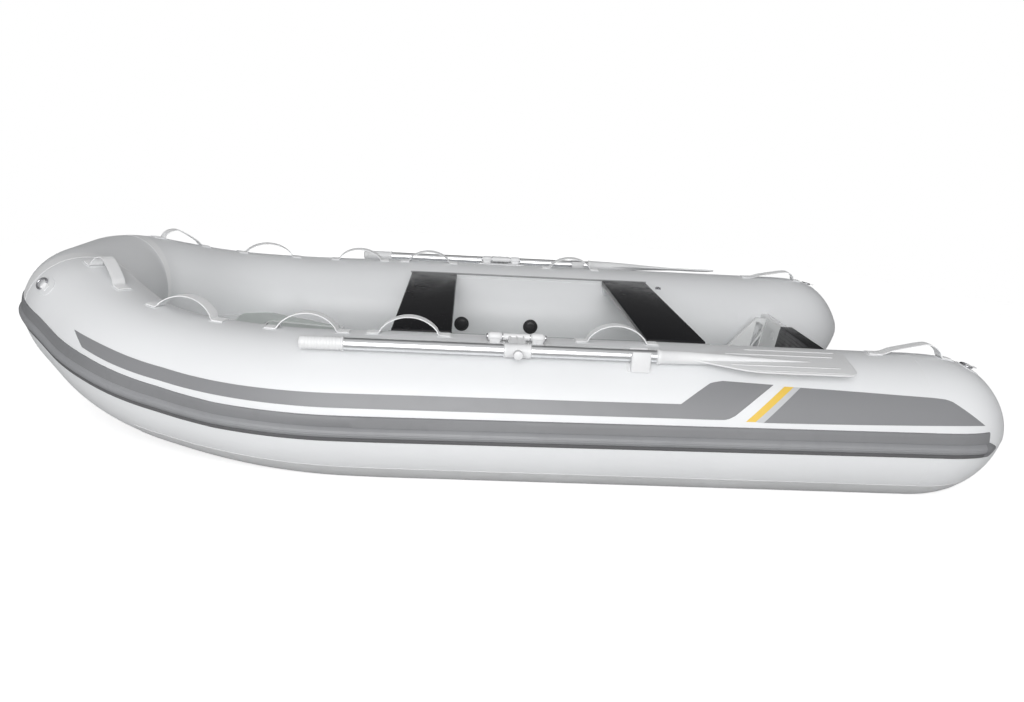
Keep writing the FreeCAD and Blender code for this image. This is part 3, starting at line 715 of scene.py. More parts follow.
FABRIC = Finish(
    "Tube fabric", (0.79, 0.80, 0.81), 0.42, grain=1500.0, depth=0.00002, shade=0.03, sheen=0.05,
    wear=0.35, wear_size=9.0)
TAPE = Finish("Seam tape", (0.86, 0.865, 0.87), 0.45, grain=1500.0, depth=0.00003, shade=0.05, wear=0.3)
PATCH = Finish(
    "Glued patch", (0.80, 0.81, 0.82), 0.45, grain=1300.0, depth=0.00003, shade=0.05, wear=0.35)
# A darker strip under the tube's outboard side: partly a wear strip, partly painted shade for the
# shaded underside.
SCUFF_AND_SHADE = Finish("Wear strip", (0.69, 0.695, 0.70), 0.55, grain=700.0, depth=0.0001, shade=0.12, wear=0.5)
STRIPE = Finish(
    "Grey stripe", (0.245, 0.248, 0.257), 0.4, grain=1500.0, depth=0.00002, shade=0.04, wear=0.3,
    wear_size=12.0)
YELLOW = Finish("Yellow bar", (0.80, 0.54, 0.095), 0.38, grain=1500.0, depth=0.00002, shade=0.04)
PALE_BAR = Finish("Pale bar", (0.55, 0.56, 0.57), 0.4, grain=1500.0, depth=0.00002, shade=0.04)
# The flange's grey, darker than the fender's, is the rubber's tone partly darkened with painted shade.
SHADED_FLANGE = Finish(
    "Strake flange rubber", (0.228, 0.231, 0.239), 0.55, grain=800.0, depth=0.00006, shade=0.12,
    wear=0.4)
RUBBER = Finish(
    "Strake rubber", (0.295, 0.299, 0.310), 0.5, grain=800.0, depth=0.00006, shade=0.12, wear=0.45)
# The lip's dark grey is painted shade: the strake's rubber darkened for the shadow under the fender.
SHADED_LIP_RUBBER = Finish(
    "Strake edge rubber", (0.13, 0.131, 0.135), 0.55, grain=800.0, depth=0.00006, shade=0.15, wear=0.4)
GELCOAT = Finish(
    "Hull gelcoat", (0.80, 0.81, 0.81), 0.22, grain=60.0, depth=0.00002, shade=0.03, coat=0.5)
NONSKID = Finish("Non-skid", (0.63, 0.67, 0.65), 0.75, grain=420.0, depth=0.0005, shade=0.08, wear=0.35)
BLACK = Finish("Black plastic", (0.022, 0.022, 0.024), 0.4, depth=0.00006, shade=0.2, wear=0.5)
GLOSS = Finish(
    "Thwart gloss", (0.016, 0.016, 0.018), 0.2, grain=40.0, depth=0.00002, shade=0.2, specular=0.22,
    wear=0.3, wear_size=14.0)
EDGE = Finish("Thwart edge", (0.50, 0.50, 0.50), 0.45, depth=0.00004, shade=0.1, wear=0.4)
WEBBING = Finish(
    "Webbing", (0.88, 0.885, 0.89), 0.7, depth=0.0002, shade=0.05, sheen=0.2, weave=(20.0, 170.0))
# The bead's dark grey is painted shade for the shadow line along the track's standing edge.
TRACK_BEAD_SHADE = Finish("Track strip", (0.34, 0.345, 0.35), 0.55, shade=0.1, wear=0.3)
STEEL = Finish(
    "Stainless steel", (0.50, 0.50, 0.52), 0.18, grain=300.0, depth=0.00002, shade=0.1, metallic=1.0,
    wear=0.3)
SHAFT = Finish(
    "Polished shaft", (0.86, 0.87, 0.88), 0.29, grain=500.0, depth=0.0, shade=0.03, metallic=1.0,
    wear=0.1, wear_size=16.0, stretch=(0.03, 1.0, 1.0))
PLASTIC = Finish("White plastic", (0.78, 0.785, 0.79), 0.35, grain=700.0, depth=0.00004, wear=0.35)

SLOT_FINISH = {
    "tube_fabric": FABRIC, "strake_rubber": RUBBER, "hull_gelcoat": GELCOAT, "deck_nonskid": NONSKID,
    "black_plastic": BLACK, "seat_gloss": GLOSS, "webbing": WEBBING, "steel": STEEL,
    "shaft_aluminium": SHAFT, "white_plastic": PLASTIC,
}


def fit(
    piece: Piece, finishes: Sequence[Finish], nodes: Sequence[str] = (), body: str = "boat"
) -> None:
    """Finishes a piece and fits it to the frame.

    Args:
        piece: the piece, in place.
        finishes: its finishes, in the order of its faces' material numbers.
        nodes: the nodes it stands for.
        body: the body it moves with.
    """
    faces = piece.data.polygons
    numbers = [min(face.material_index, len(finishes) - 1) for face in faces]
    piece.data.materials.clear()
    for finish in finishes:
        piece.data.materials.append(finish.material())
    faces.foreach_set("material_index", numbers)
    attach(piece, body)
    if nodes:
        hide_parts(*nodes)
    log.info("%s on %s: %d faces", piece.name, body, len(faces))


def fit_pair(
    piece: Piece, finishes: Sequence[Finish], nodes: Sequence[str] = (), body: str = "boat"
) -> None:
    """Fits a port piece and its starboard mirror image.

    Args:
        piece: the port piece, its name without a side.
        finishes: its finishes.
        nodes: the nodes it stands for, without a side.
        body: "boat", or the name of a body on each side without the side.
    """
    other = copy(piece, piece.name + "_starboard", MIRROR)
    piece.name = piece.data.name = piece.name + "_port"
    for side, half in (("port", piece), ("starboard", other)):
        rides = body if body == "boat" else f"{body}_{side}"
        fit(half, finishes, [f"{node}_{side}" for node in nodes], rides)


# ---- curves


def eased_share(share: float) -> float:
    """A share from 0 to 1 that starts and ends gently, held outside."""
    share = min(1.0, max(0.0, share))
    return share * share * (3 - 2 * share)


def rounded_off(points: Sequence[Sequence[float]], rounds: int) -> list[Vector]:
    """A line of points with its corners cut again and again, its ends kept.

    Args:
        points: the corners.
        rounds: how many times they are cut.

    Returns:
        The smoothed line.
    """
    line = [Vector(point) for point in points]
    for _ in range(rounds):
        shorter = [line[0]]
        for first, second in zip(line, line[1:]):
            shorter += [first.lerp(second, 0.25), first.lerp(second, 0.75)]
        line = shorter + [line[-1]]
    return line


def evened(points: Sequence[Vector], count: int) -> list[Vector]:
    """Points at even steps of length down a line.

    Args:
        points: the line.
        count: how many steps.

    Returns:
        The points, with both ends.
    """
    lengths = [0.0]
    for first, second in zip(points, points[1:]):
        lengths.append(lengths[-1] + (second - first).length)
    even = []
    for step in range(count + 1):
        at = lengths[-1] * step / count
        low = max(i for i in range(len(points) - 1) if lengths[i] <= at + TINY or i == 0)
        span = lengths[low + 1] - lengths[low] or 1.0
        even.append(points[low].lerp(points[low + 1], min(1.0, (at - lengths[low]) / span)))
    return even


@dataclass
class TubeSkin:
    """The tube's axis and round skin, from the port stern cone round to the starboard side.

    Places are given by the distance along the axis from the start of the stern cone, which
    is negative on the cone, and by the angle round the tube up from outboard.

    Attributes:
        radius: of the side tubes.
        bow_radius: of the bow tube.
        cone: length of the stern cone.
        tip: radius of its tip.
    """

    radius: float = 0.225
    bow_radius: float = 0.190
    cone: float = 0.355
    tip: float = 0.040
    spread: float = field(init=False)
    height: float = field(init=False)
    bow_x: float = field(init=False)
    cone_x: float = field(init=False)
    half_run: float = field(init=False)
    runs: list = field(init=False)
    seats: dict = field(default_factory=dict)

    TURNS = ((0.763, 1.0, 0.0), (0.325, 0.81, 0.049), (0.057, 0.415, 0.148), (0.0, 0.262, 0.162))
    TURN_SHARE = 0.48
    TAPER = 1.149
    FULLNESS = 3.66
    TUCK = 0.021
    TUCK_SIDE = (-0.5, 0.8)
    TUCK_RUN = (0.12, 0.70)
    TUCK_POWER = 0.7
    SLACK = 0.009
    PATCH_FACES = 12
    TAPE_DEGREES = 4
    TAPE_STEP = 0.02
    TAPE_CREASE = 50.0

    def __post_init__(self) -> None:
        """Takes the tube's place from the model and lays out its axis."""
        low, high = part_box("tube_port")
        self.spread = high.y - self.radius
        self.height = low.z + self.radius
        self.cone_x = low.x + self.cone
        self.cone -= self.SLACK
        self.bow_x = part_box("tube_bow")[1].x - self.bow_radius
        self.runs = self.lay_axis()
        self.half_run = sum(run[0] for run in self.runs)

    def lay_axis(self) -> list[tuple[float, Vector, Vector, Optional[Vector]]]:
        """The port half of the axis as lines and tangent arcs.

        Returns:
            Rows of length, start, direction and arc centre, which is None on a line.
        """
        corners = [Vector((self.cone_x, self.spread, self.height))]
        for aft, share, rise in self.TURNS:
            corners.append(Vector((self.bow_x - aft, self.spread * share, self.height + rise)))
        last = corners[-1]
        corners.append(Vector((last.x, -last.y, last.z)))
        runs = []
        here = corners[0]
        for before, corner, after in zip(corners, corners[1:], corners[2:]):
            way_in = (corner - before).normalized()
            way_out = (after - corner).normalized()
            reach = self.TURN_SHARE * min((corner - before).length, (after - corner).length)
            begin = corner - way_in * reach
            runs.append(((begin - here).length, here, way_in, None))
            half_turn = way_in.angle(way_out) / 2
            bend = reach / math.tan(half_turn)
            centre = corner + (way_out - way_in).normalized() * math.hypot(reach, bend)
            runs.append((2 * half_turn * bend, begin, way_in, centre))
            here = corner + way_out * reach
        stem = Vector((here.x, 0.0, here.z))
        runs.append(((stem - here).length, here, Vector((0.0, -1.0, 0.0)), None))
        return runs

    def axis(self, along: float) -> tuple[Vector, Vector]:
        """The point and direction of the axis at a distance along it.

        Args:
            along: distance along the axis.

        Returns:
            The point and the direction.
        """
        if along < 0:
            return Vector((self.cone_x + along, self.spread, self.height)), FORWARD.copy()
        if along > self.half_run:
            point, way = self.axis(2 * self.half_run - along)
            return Vector((point.x, -point.y, point.z)), Vector((-way.x, way.y, -way.z))
        left = along
        for length, start, way, centre in self.runs:
            if left <= length + TINY:
                break
            left -= length
        if centre is None:
            return start + way * left, way
        arm = start - centre
        turn = left / arm.length
        point = centre + arm * math.cos(turn) + way * (arm.length * math.sin(turn))
        return point, way * math.cos(turn) - arm * (math.sin(turn) / arm.length)

    def radius_at(self, along: float) -> float:
        """The skin's radius at a distance along the axis.

        Args:
            along: distance along the axis.

        Returns:
            The radius.
        """
        along = min(along, 2 * self.half_run - along)
        if along < 0:
            share = min(1.0, -along / self.cone)
            return self.tip + (self.radius - self.tip) * (1 - share ** self.FULLNESS)
        x = self.seat(along)[0].x
        share = (x - self.bow_x + self.TAPER) / self.TAPER
        return mix(self.radius, self.bow_radius, eased_share(share))

    def seat(self, along: float) -> tuple[Vector, Vector, Vector, Vector]:
        """The axis point, its direction, and the ways outboard and up across it.

        Args:
            along: distance along the axis.

        Returns:
            The point, the direction, outboard and up.
        """
        key = round(along, 7)
        if key not in self.seats:
            point, way = self.axis(along)
            up = (UP - way * way.z).normalized()
            self.seats[key] = (point, way, up.cross(way), up)
        return self.seats[key]

    def tuck(self, along: float, angle: float) -> float:
        """How far the outer underside of the stern cone is tucked in at an angle in radians."""
        under = max(0.0, -math.sin(angle))
        outer = min(1.0, max(0.0, (math.cos(angle) - self.TUCK_SIDE[0]) / self.TUCK_SIDE[1]))
        share = (-along / self.cone - self.TUCK_RUN[0]) / self.TUCK_RUN[1]
        return self.TUCK * eased_share(share) * under ** self.TUCK_POWER * outer

    def place(self, along: float, degrees: float, lift: float = 0.0) -> Vector:
        """A point on the skin, or lifted off it."""
        point, _, out, up = self.seat(along)
        angle = math.radians(degrees)
        reach = self.radius_at(along) - self.tuck(along, angle) + lift
        return point + (out * math.cos(angle) + up * math.sin(angle)) * reach

    def outward(self, along: float, degrees: float) -> Vector:
        """The way out of the skin at a place."""
        _, _, out, up = self.seat(along)
        angle = math.radians(degrees)
        return out * math.cos(angle) + up * math.sin(angle)

    def along_of(self, x: float) -> float:
        """The distance along the straight side at an x."""
        return x - self.cone_x

    def patch(
        self, name: str, along: float, degrees: float, length: float, width: float,
        roundness: float = 0.4, lift: float = 0.0009
    ) -> Piece:
        """A thin patch glued to the skin.

        Args:
            name: its name.
            along: where its middle is, along the tube.
            degrees: and round it.
            length: along the tube.
            width: round the tube.
            roundness: 0 for square corners and 1 for an oval.
            lift: its thickness.

        Returns:
            The closed patch.
        """
        turn = math.degrees(width / 2 / self.radius_at(along))

        def place(u: float, v: float) -> Vector:
            """The point at u across and v along."""
            across, ahead = 2 * u - 1, 2 * v - 1
            return self.place(
                along + ahead * math.sqrt(1 - roundness * across * across / 2) * length / 2,
                degrees + across * math.sqrt(1 - roundness * ahead * ahead / 2) * turn,
                lift)

        piece = sheet(name, self.PATCH_FACES, self.PATCH_FACES, place)
        wall(piece, lift + EMBED, self.TAPE_CREASE)
        return piece

    def tape(
        self, name: str, start: float, end: float, low: float, high: float, lift: float = 0.0008
    ) -> Piece:
        """A tape laid on the skin between two distances along it and two angles.

        Args:
            name: its name.
            start: where it starts, along the tube.
            end: where it ends.
            low: its lower angle.
            high: its higher angle, a full turn on for a ring.
            lift: its thickness.

        Returns:
            The closed tape.
        """
        columns = max(4, round((high - low) / self.TAPE_DEGREES))
        rows = max(2, round((end - start) / self.TAPE_STEP))

        def place(u: float, v: float) -> Vector:
            """The point at u across and v along."""
            return self.place(mix(start, end, v), mix(low, high, u), lift)

        piece = sheet(name, columns, rows, place)
        mend(piece, outward=False)
        wall(piece, lift + EMBED, self.TAPE_CREASE)
        return piece


# ---- tubes and what is glued to them


@dataclass
class Tubes:
    """The two side tubes, the bow tube and the tapes and strips glued to them."""

    skin: TubeSkin
    seam: float = field(init=False)

    SEAM_FROM_STEM = 0.215
    AROUND = 112
    DOME = 0.010
    POLE = 0.004
    TIP_RINGS, CONE_RINGS, SIDE_RINGS, BOW_RINGS = 8, 45, 150, 44
    ROUND = (-90.0, 270.0)
    BOW_SEAM = 0.022
    CONE_SEAM = (-0.043, -0.017)
    TIP_SEAM = (-0.334, -0.318)
    # Where the darker strip lies under the outboard side, partly wear and partly painted shade.
    WEAR_AND_SHADE_STRIP = (-0.16, 2.30, -82.0, -38.0, 0.0010)
    HULL_TAPE = (0.10, 1.60, 217.0, 225.0)

    def __post_init__(self) -> None:
        """Finds the ring seam."""
        self.seam = self.skin.half_run - self.SEAM_FROM_STEM

    def build(self) -> None:
        """Builds every piece."""
        skin = self.skin
        fit_pair(self.wrapped("tube_side", self.side_rings()), [FABRIC], ["tube"])
        alongs = spread(self.seam, 2 * skin.half_run - self.seam, self.BOW_RINGS)
        bow_rings = [(along, skin.radius_at(along)) for along in alongs]
        fit(self.wrapped("tube_front", bow_rings), [FABRIC], ["tube_bow"])
        bow_seam = (self.seam - self.BOW_SEAM, self.seam + self.BOW_SEAM)
        tapes = [
            (skin.tape("seam_bow", *bow_seam, *self.ROUND, 0.0007), TAPE),
            (skin.tape("seam_cone", *self.CONE_SEAM, *self.ROUND, 0.0005), FABRIC),
            (skin.tape("seam_tip", *self.TIP_SEAM, *self.ROUND), PATCH),
        ]
        for tape, finish in tapes:
            fit_pair(tape, [finish])
        fit_pair(skin.tape("wear_strip", *self.WEAR_AND_SHADE_STRIP), [SCUFF_AND_SHADE])
        fit_pair(skin.tape("hull_tape", *self.HULL_TAPE), [PATCH])

    def side_rings(self) -> list[Row]:
        """The side tube's rings as (along, radius), from the middle of the rounded tip.

        Returns:
            The rings in order.
        """
        skin = self.skin
        start = -skin.cone + self.DOME
        rim = skin.radius_at(start)
        rings = []
        for i in range(self.TIP_RINGS):
            turn = math.pi / 2 * (1 - i / self.TIP_RINGS)
            radius = rim * max(self.POLE, math.cos(turn))
            rings.append((start - self.DOME * math.sin(turn), radius))
        alongs = [start * math.cos(math.pi / 2 * i / self.CONE_RINGS) for i in range(self.CONE_RINGS)]
        alongs += [self.seam * i / (self.SIDE_RINGS - 1) for i in range(self.SIDE_RINGS)]
        rings += [(along, skin.radius_at(along)) for along in alongs]
        return rings

    def wrapped(self, name: str, rings: Rows) -> Piece:
        """A closed length of tube through rings of (along, radius).

        Args:
            name: the piece's name.
            rings: rows of (along, radius).

        Returns:
            The closed piece.
        """
        skin = self.skin
        last = len(rings) - 1

        def place(u: float, v: float) -> Vector:
            """The point at u across and v along."""
            along, radius = rings[round(v * last)]
            point, _, out, up = skin.seat(along)
            angle = 2 * math.pi * u - math.pi
            reach = radius - skin.tuck(along, angle) * min(1.0, radius / skin.tip)
            return point + (out * math.cos(angle) + up * math.sin(angle)) * reach

        return skinned(name, self.AROUND, last, place, SOFT)


@dataclass
class Stripes:
    """The coloured panels glued along each side."""

    skin: TubeSkin

    LIFT = 0.0011
    PANEL_WELD = 5e-5
    ACROSS = 10
    LONG_TOP = (
        (0.745, 27.4), (0.981, 26.9), (1.40, 26.4), (1.825, 25.7), (2.06, 25.5), (2.25, 28.1),
        (2.42, 31.1), (2.521, 30.4))
    LONG_LOW = (
        (0.745, 16.7), (0.981, 16.3), (1.40, 15.7), (1.821, 15.1), (2.06, 15.2), (2.237, 17.0),
        (2.397, 19.4), (2.465, 20.8))
    FIRST_TOP = ((0.465, 45.2), (0.55, 46.1), (0.641, 47.1), (0.69, 38.0), (0.745, 27.4))
    FIRST_LOW = ((0.585, 20.2), (0.609, 17.0), (0.64, 16.8), (0.69, 16.7), (0.745, 16.7))
    BAR_TOP = ((0.405, 44.0), (0.433, 44.1))
    BAR_LOW = ((0.525, 16.2), (0.553, 16.2))
    PALE_TOP = ((0.385, 43.7), (0.405, 44.0))
    PALE_LOW = ((0.501, 15.8), (0.525, 16.2))
    SECOND_TOP = ((-0.075, 37.0), (-0.051, 39.3), (0.085, 40.7), (0.237, 42.4), (0.385, 43.7))
    SECOND_LOW = ((-0.179, 19.7), (-0.09, 18.9), (0.001, 18.2), (0.241, 16.7), (0.501, 15.8))

    def build(self) -> None:
        """Builds every panel on both sides."""
        long = self.ruled("stripe_long", self.LONG_TOP, self.LONG_LOW, 110, 3)
        first = self.ruled("stripe_first", self.FIRST_TOP, self.FIRST_LOW, 30, 1)
        panels = [
            (join("stripe_bow", [long, first]), STRIPE),
            (self.ruled("stripe_stern", self.SECOND_TOP, self.SECOND_LOW, 40, 1), STRIPE),
            (self.ruled("stripe_bar", self.BAR_TOP, self.BAR_LOW, 3, 0), YELLOW),
            (self.ruled("stripe_pale", self.PALE_TOP, self.PALE_LOW, 3, 0), PALE_BAR),
        ]
        for panel, finish in panels:
            mend(panel, self.PANEL_WELD)
            thicken(panel, self.LIFT + EMBED)
            smooth(panel, self.skin.TAPE_CREASE)
            fit_pair(panel, [finish])

    def ruled(self, name: str, top: Rows, low: Rows, rows: int, rounds: int) -> Piece:
        """A panel between two edges given as (along, degrees), stern ends first.

        Args:
            name: its name.
            top: the upper edge.
            low: the lower edge.
            rows: faces along it.
            rounds: how much the edges' corners are rounded off.

        Returns:
            The open sheet.
        """
        scale = self.skin.radius * math.pi / 180
        edges = []
        for edge in (low, top):
            flat = rounded_off([(along, degrees * scale) for along, degrees in edge], rounds)
            edges.append(evened(flat, rows))

        def place(u: float, v: float) -> Vector:
            """The point at u across and v along."""
            row = round(v * rows)
            along, arc = edges[0][row].lerp(edges[1][row], u)
            return self.skin.place(along, arc / scale, self.LIFT)

        return sheet(name, self.ACROSS, rows, place)


@dataclass
class Strake:
    """The rubbing strake: a dark flange, a ribbed rounded fender and a thin dark lip; the lip's dark
    grey is painted shade, and so is part of the flange's.
    """

    skin: TubeSkin
    seam: float

    DROPS = ((-0.12, 0.0), (0.0, 0.002), (0.51, 0.013), (0.67, 0.017), (0.8, 0.0), (1.1, 0.0))
    END = 0.196
    NOSE = 0.240
    SLIM = ((-0.2, 1.0), (0.55, 1.0), (0.85, 0.70), (1.1, 0.66))
    TOP = 0.052
    STEP = 0.019
    LIP = -0.0125
    BOTTOM = -0.025
    POINT = -0.004
    RIBS = 5
    RIB_STEPS = 6
    RIB_DEPTH = 0.0004
    FENDER = (0.0062, 0.0118)
    FULLNESS = 0.6
    SUNK = -0.002
    NOSE_STATIONS, SIDE_STATIONS, BOW_STATIONS, CAP_STATIONS = 36, 130, 36, 16
    CAP_OVERLAP = 0.012
    CAP_SWELL = (0.06, 1.5, 0.7)
    CAP_STAND_OFF = 1.06

    def section(self) -> list[tuple[float, float, int]]:
        """The outline as (height, stand-off, finish number of the face that follows).

        Returns:
            The rows, all the way round.
        """
        # The first rows are the lip, finish 2, whose dark grey is painted shade.
        outline = [
            (self.BOTTOM, self.SUNK, 2), (self.BOTTOM, 0.0035, 2), (self.BOTTOM + 0.0015, 0.0055, 2),
            (self.BOTTOM + 0.006, 0.0068, 2), (self.LIP - 0.0008, 0.0072, 2), (self.LIP, 0.0056, 2)]
        low, high = self.LIP + 0.0003, self.STEP - 0.0012
        steps = self.RIBS * self.RIB_STEPS
        for i in range(steps + 1):
            share = i / steps
            arch = math.sin(math.pi * share) ** self.FULLNESS if 0 < share < 1 else 0.0
            rib = self.RIB_DEPTH * (math.cos(2 * math.pi * self.RIBS * share) - 1) * min(1.0, 3 * arch)
            outline.append((mix(low, high, share), self.FENDER[0] + self.FENDER[1] * arch + rib, 1))
        outline += [
            (self.STEP, 0.0048, 0), (self.STEP + 0.0015, 0.0058, 0), (self.TOP - 0.012, 0.0060, 0),
            (self.TOP - 0.0025, 0.0056, 0), (self.TOP - 0.0006, 0.0040, 0), (self.TOP, 0.0018, 0),
            (self.TOP, self.SUNK, 0), (0.0, self.SUNK, 0), (self.BOTTOM, self.SUNK, 2)]
        return outline

    def drop(self, along: float) -> float:
        """How far the strake sits below its height at the stern."""
        along = min(along, 2 * self.skin.half_run - along)
        return along_table(self.DROPS, along / self.skin.half_run)

    def swept(
        self, name: str, stations: Sequence[float], outline: Sequence[tuple[float, float, int]],
        swell: Callable[[float], float]
    ) -> Piece:
        """A section carried along the tube.

        Args:
            name: the piece's name.
            stations: distances along the tube.
            outline: the section as rows of height, stand-off and finish number.
            swell: how full the section is at a share of the way.

        Returns:
            The closed piece, its faces numbered by finish.
        """
        last, rows = len(outline) - 1, len(stations) - 1

        def place(u: float, v: float) -> Vector:
            """The point at u across and v along."""
            height, off, _ = outline[round(u * last)]
            along = stations[round(v * rows)]
            factor = swell(v)
            if off > 0.005:
                off *= along_table(
                    self.SLIM, min(along, 2 * self.skin.half_run - along) / self.skin.half_run)
            height = mix(self.POINT, height, factor) - self.drop(along)
            radius = self.skin.radius_at(along) + (off * factor if off > 0 else off)
            point, _, out, up = self.skin.seat(along)
            return point + out * math.sqrt(radius * radius - height * height) + up * height

        return skinned(name, last, rows, place, SHARP, lambda u, v: outline[int(u * last)][2])

    def build(self) -> None:
        """Builds the two side lengths, the bow length and the moulded stern ends."""
        finishes = [SHADED_FLANGE, RUBBER, SHADED_LIP_RUBBER]
        count = self.NOSE_STATIONS
        stations = [-self.END * math.cos(math.pi / 2 * i / count) for i in range(count)]
        count = self.SIDE_STATIONS
        stations += [self.seam * i / (count - 1) for i in range(count)]
        section = self.section()
        side = self.swept("strake_side", stations, section, lambda v: 1.0)
        fit_pair(side, finishes, ["rub_strake"])
        front = spread(self.seam, 2 * self.skin.half_run - self.seam, self.BOW_STATIONS)
        fit(
            self.swept("strake_front", front, section, lambda v: 1.0), finishes,
            ["rub_strake_bow"])
        ends = spread(-self.NOSE, -self.END + self.CAP_OVERLAP, self.CAP_STATIONS)
        low = [row for row in section[:-2] if row[0] <= self.STEP - 0.001 and row != section[-1]]
        nose = [(h, off * self.CAP_STAND_OFF if off > 0 else off, 0) for h, off, _ in low]
        crown = self.STEP + 0.0006
        nose += [(crown, 0.0050, 0), (crown, self.SUNK, 0), nose[0]]
        # The moulded ends take the flange's grey, which is partly painted shade.
        least, quick, power = self.CAP_SWELL
        cap = self.swept(
            "strake_cap", ends, nose, lambda v: least + (1 - least) * min(1.0, v * quick) ** power)
        fit_pair(cap, [SHADED_FLANGE])


@dataclass
class Handles:
    """Six webbing grab handles a side, each with a stitched patch under its ends."""

    skin: TubeSkin

    ANGLE = 92.0
    WIDTH = 0.040
    WEB = 0.0030
    LEAN = math.radians(17.0)
    PAD = 0.032
    SETTLED = 0.88
    TAUT = 3.2
    LEAVES = 0.012
    ROUNDS, STEPS, ACROSS = 3, 64, 8
    BULGE = 0.0006
    ARC_SHARES = (0.14, 0.32, 0.54, 0.78, 1.0)
    PATCH = (0.050, 0.052, 0.35)
    PATCH_AHEAD, STITCH_AHEAD = 0.014, 0.017
    STITCH_BOX = (0.022, 0.026)
    STITCH_HALF = 0.0014
    STITCH_THICK = 0.0012
    STITCH_OFF = 0.0016
    ROWS = (
        ("bow", -0.036, 0.124, 0.30, 0.052), ("bow", 0.326, 0.543, 0.5, 0.058),
        ("bow", 0.751, 0.952, 0.5, 0.058), ("bow", 1.071, 1.258, 0.5, 0.058),
        ("stern", 1.006, 0.816, 0.5, 0.058), ("stern", 0.085, -0.120, 0.76, 0.044))

    def build(self) -> None:
        """Builds the loops and their patches."""
        loops, patches = [], []
        start = self.skin.bow_x - self.skin.cone_x
        for number, (end, front, back, crown, height) in enumerate(self.ROWS):
            if end == "bow":
                front, back = start - front, start - back
            loops.append(self.loop(f"loop_{number}", front, back, crown, height))
            for foot, side in ((front, 1), (back, -1)):
                patches.append(self.skin.patch(
                    f"loop_patch_{number}", foot + side * self.PATCH_AHEAD, self.ANGLE, *self.PATCH))
                loops.append(self.stitches(f"stitches_{number}", foot + side * self.STITCH_AHEAD))
        fit_pair(join("handle_loops", loops), [WEBBING], ["grab_handles"])
        fit_pair(join("handle_patches", patches), [PATCH])

    def stitches(self, name: str, along: float) -> Piece:
        """The sewn box on a handle's end, as a thin raised frame.

        Args:
            name: its name.
            along: where its middle is.

        Returns:
            The closed frame.
        """
        length, width = self.STITCH_BOX
        corners = ((-1, -1), (-1, 1), (1, 1), (1, -1), (-1, -1))
        turn = math.degrees(1 / self.skin.radius_at(along))

        def place(u: float, v: float) -> Vector:
            """The point at u across and v along."""
            spot = v * 4
            low = min(int(spot), 3)
            share = spot - low
            a = mix(corners[low][0], corners[low + 1][0], share)
            b = mix(corners[low][1], corners[low + 1][1], share)
            grow = self.STITCH_HALF * (u - 0.5) * 2
            return self.skin.place(
                along + a * (length / 2 + grow), self.ANGLE + b * (width / 2 + grow) * turn,
                self.WEB + self.STITCH_OFF)

        piece = sheet(name, 1, 16, place)
        thicken(piece, self.STITCH_THICK)
        mend(piece)
        return piece

    def loop(self, name: str, front: float, back: float, crown: float, height: float) -> Piece:
        """A webbing loop between two feet, with flat ends.

        Args:
            name: its name.
            front: its forward foot, along the tube.
            back: its aft foot.
            crown: where it is highest, as a share of the way aft.
            height: of the crown.

        Returns:
            The closed piece.
        """
        skin = self.skin
        feet = [skin.place(along, self.ANGLE) for along in (front, back)]
        outs = [skin.outward(along, self.ANGLE) for along in (front, back)]
        ahead = feet[0] - feet[1]
        span = ahead.length
        forward = ahead.normalized()
        level = (outs[0] + outs[1]).cross(forward).normalized()
        lifted = forward.cross(level)
        middle = (feet[0] + feet[1]) / 2
        half = span / 2
        peak = half - crown * span
        corners = [(-half - self.PAD, 0.0), (-half - 0.014, 0.0), (-half + 0.001, 0.001)]
        for foot in (-half, half):
            width = abs(foot - peak)
            bend = (width ** 2 + height ** 2) / (2 * height)
            centre = height - bend
            start = math.asin(-centre / bend)
            turns = [mix(start, math.pi / 2, share) for share in self.ARC_SHARES]
            side = 1 if foot > peak else -1
            taut = max(0.0, width / span - 0.5) * self.TAUT
            arc = []
            for t in turns:
                reach = bend * math.cos(t)
                straight = height * (1 - reach / width)
                arc.append((peak + side * reach, mix(centre + bend * math.sin(t), straight, taut)))
            corners += arc if side < 0 else arc[-2::-1]
        corners += [(half - 0.001, 0.001), (half + 0.014, 0.0), (half + self.PAD, 0.0)]
        rows = self.STEPS
        line = evened(rounded_off(corners, self.ROUNDS), rows)

        def place(u: float, v: float) -> Vector:
            """The point at u across and v along."""
            x, z = line[round(v * rows)]
            z *= self.SETTLED
            side = 0.5 - u
            bulge = self.BULGE * (1 - (2 * side) ** 4)
            free = middle + forward * x + level * (side * self.WIDTH - math.sin(self.LEAN) * z)
            free += lifted * (math.cos(self.LEAN) * z + self.WEB + 0.0012 + bulge)
            along = mix(back, front, (x + half) / span)
            turn = math.degrees(side * self.WIDTH / skin.radius_at(along))
            seated = skin.place(along, self.ANGLE - turn, self.WEB + 0.0010 + bulge)
            return seated.lerp(free, eased_share(z / self.LEAVES))

        piece = sheet(name, self.ACROSS, rows, place)
        wall(piece, self.WEB, 45.0)
        return piece


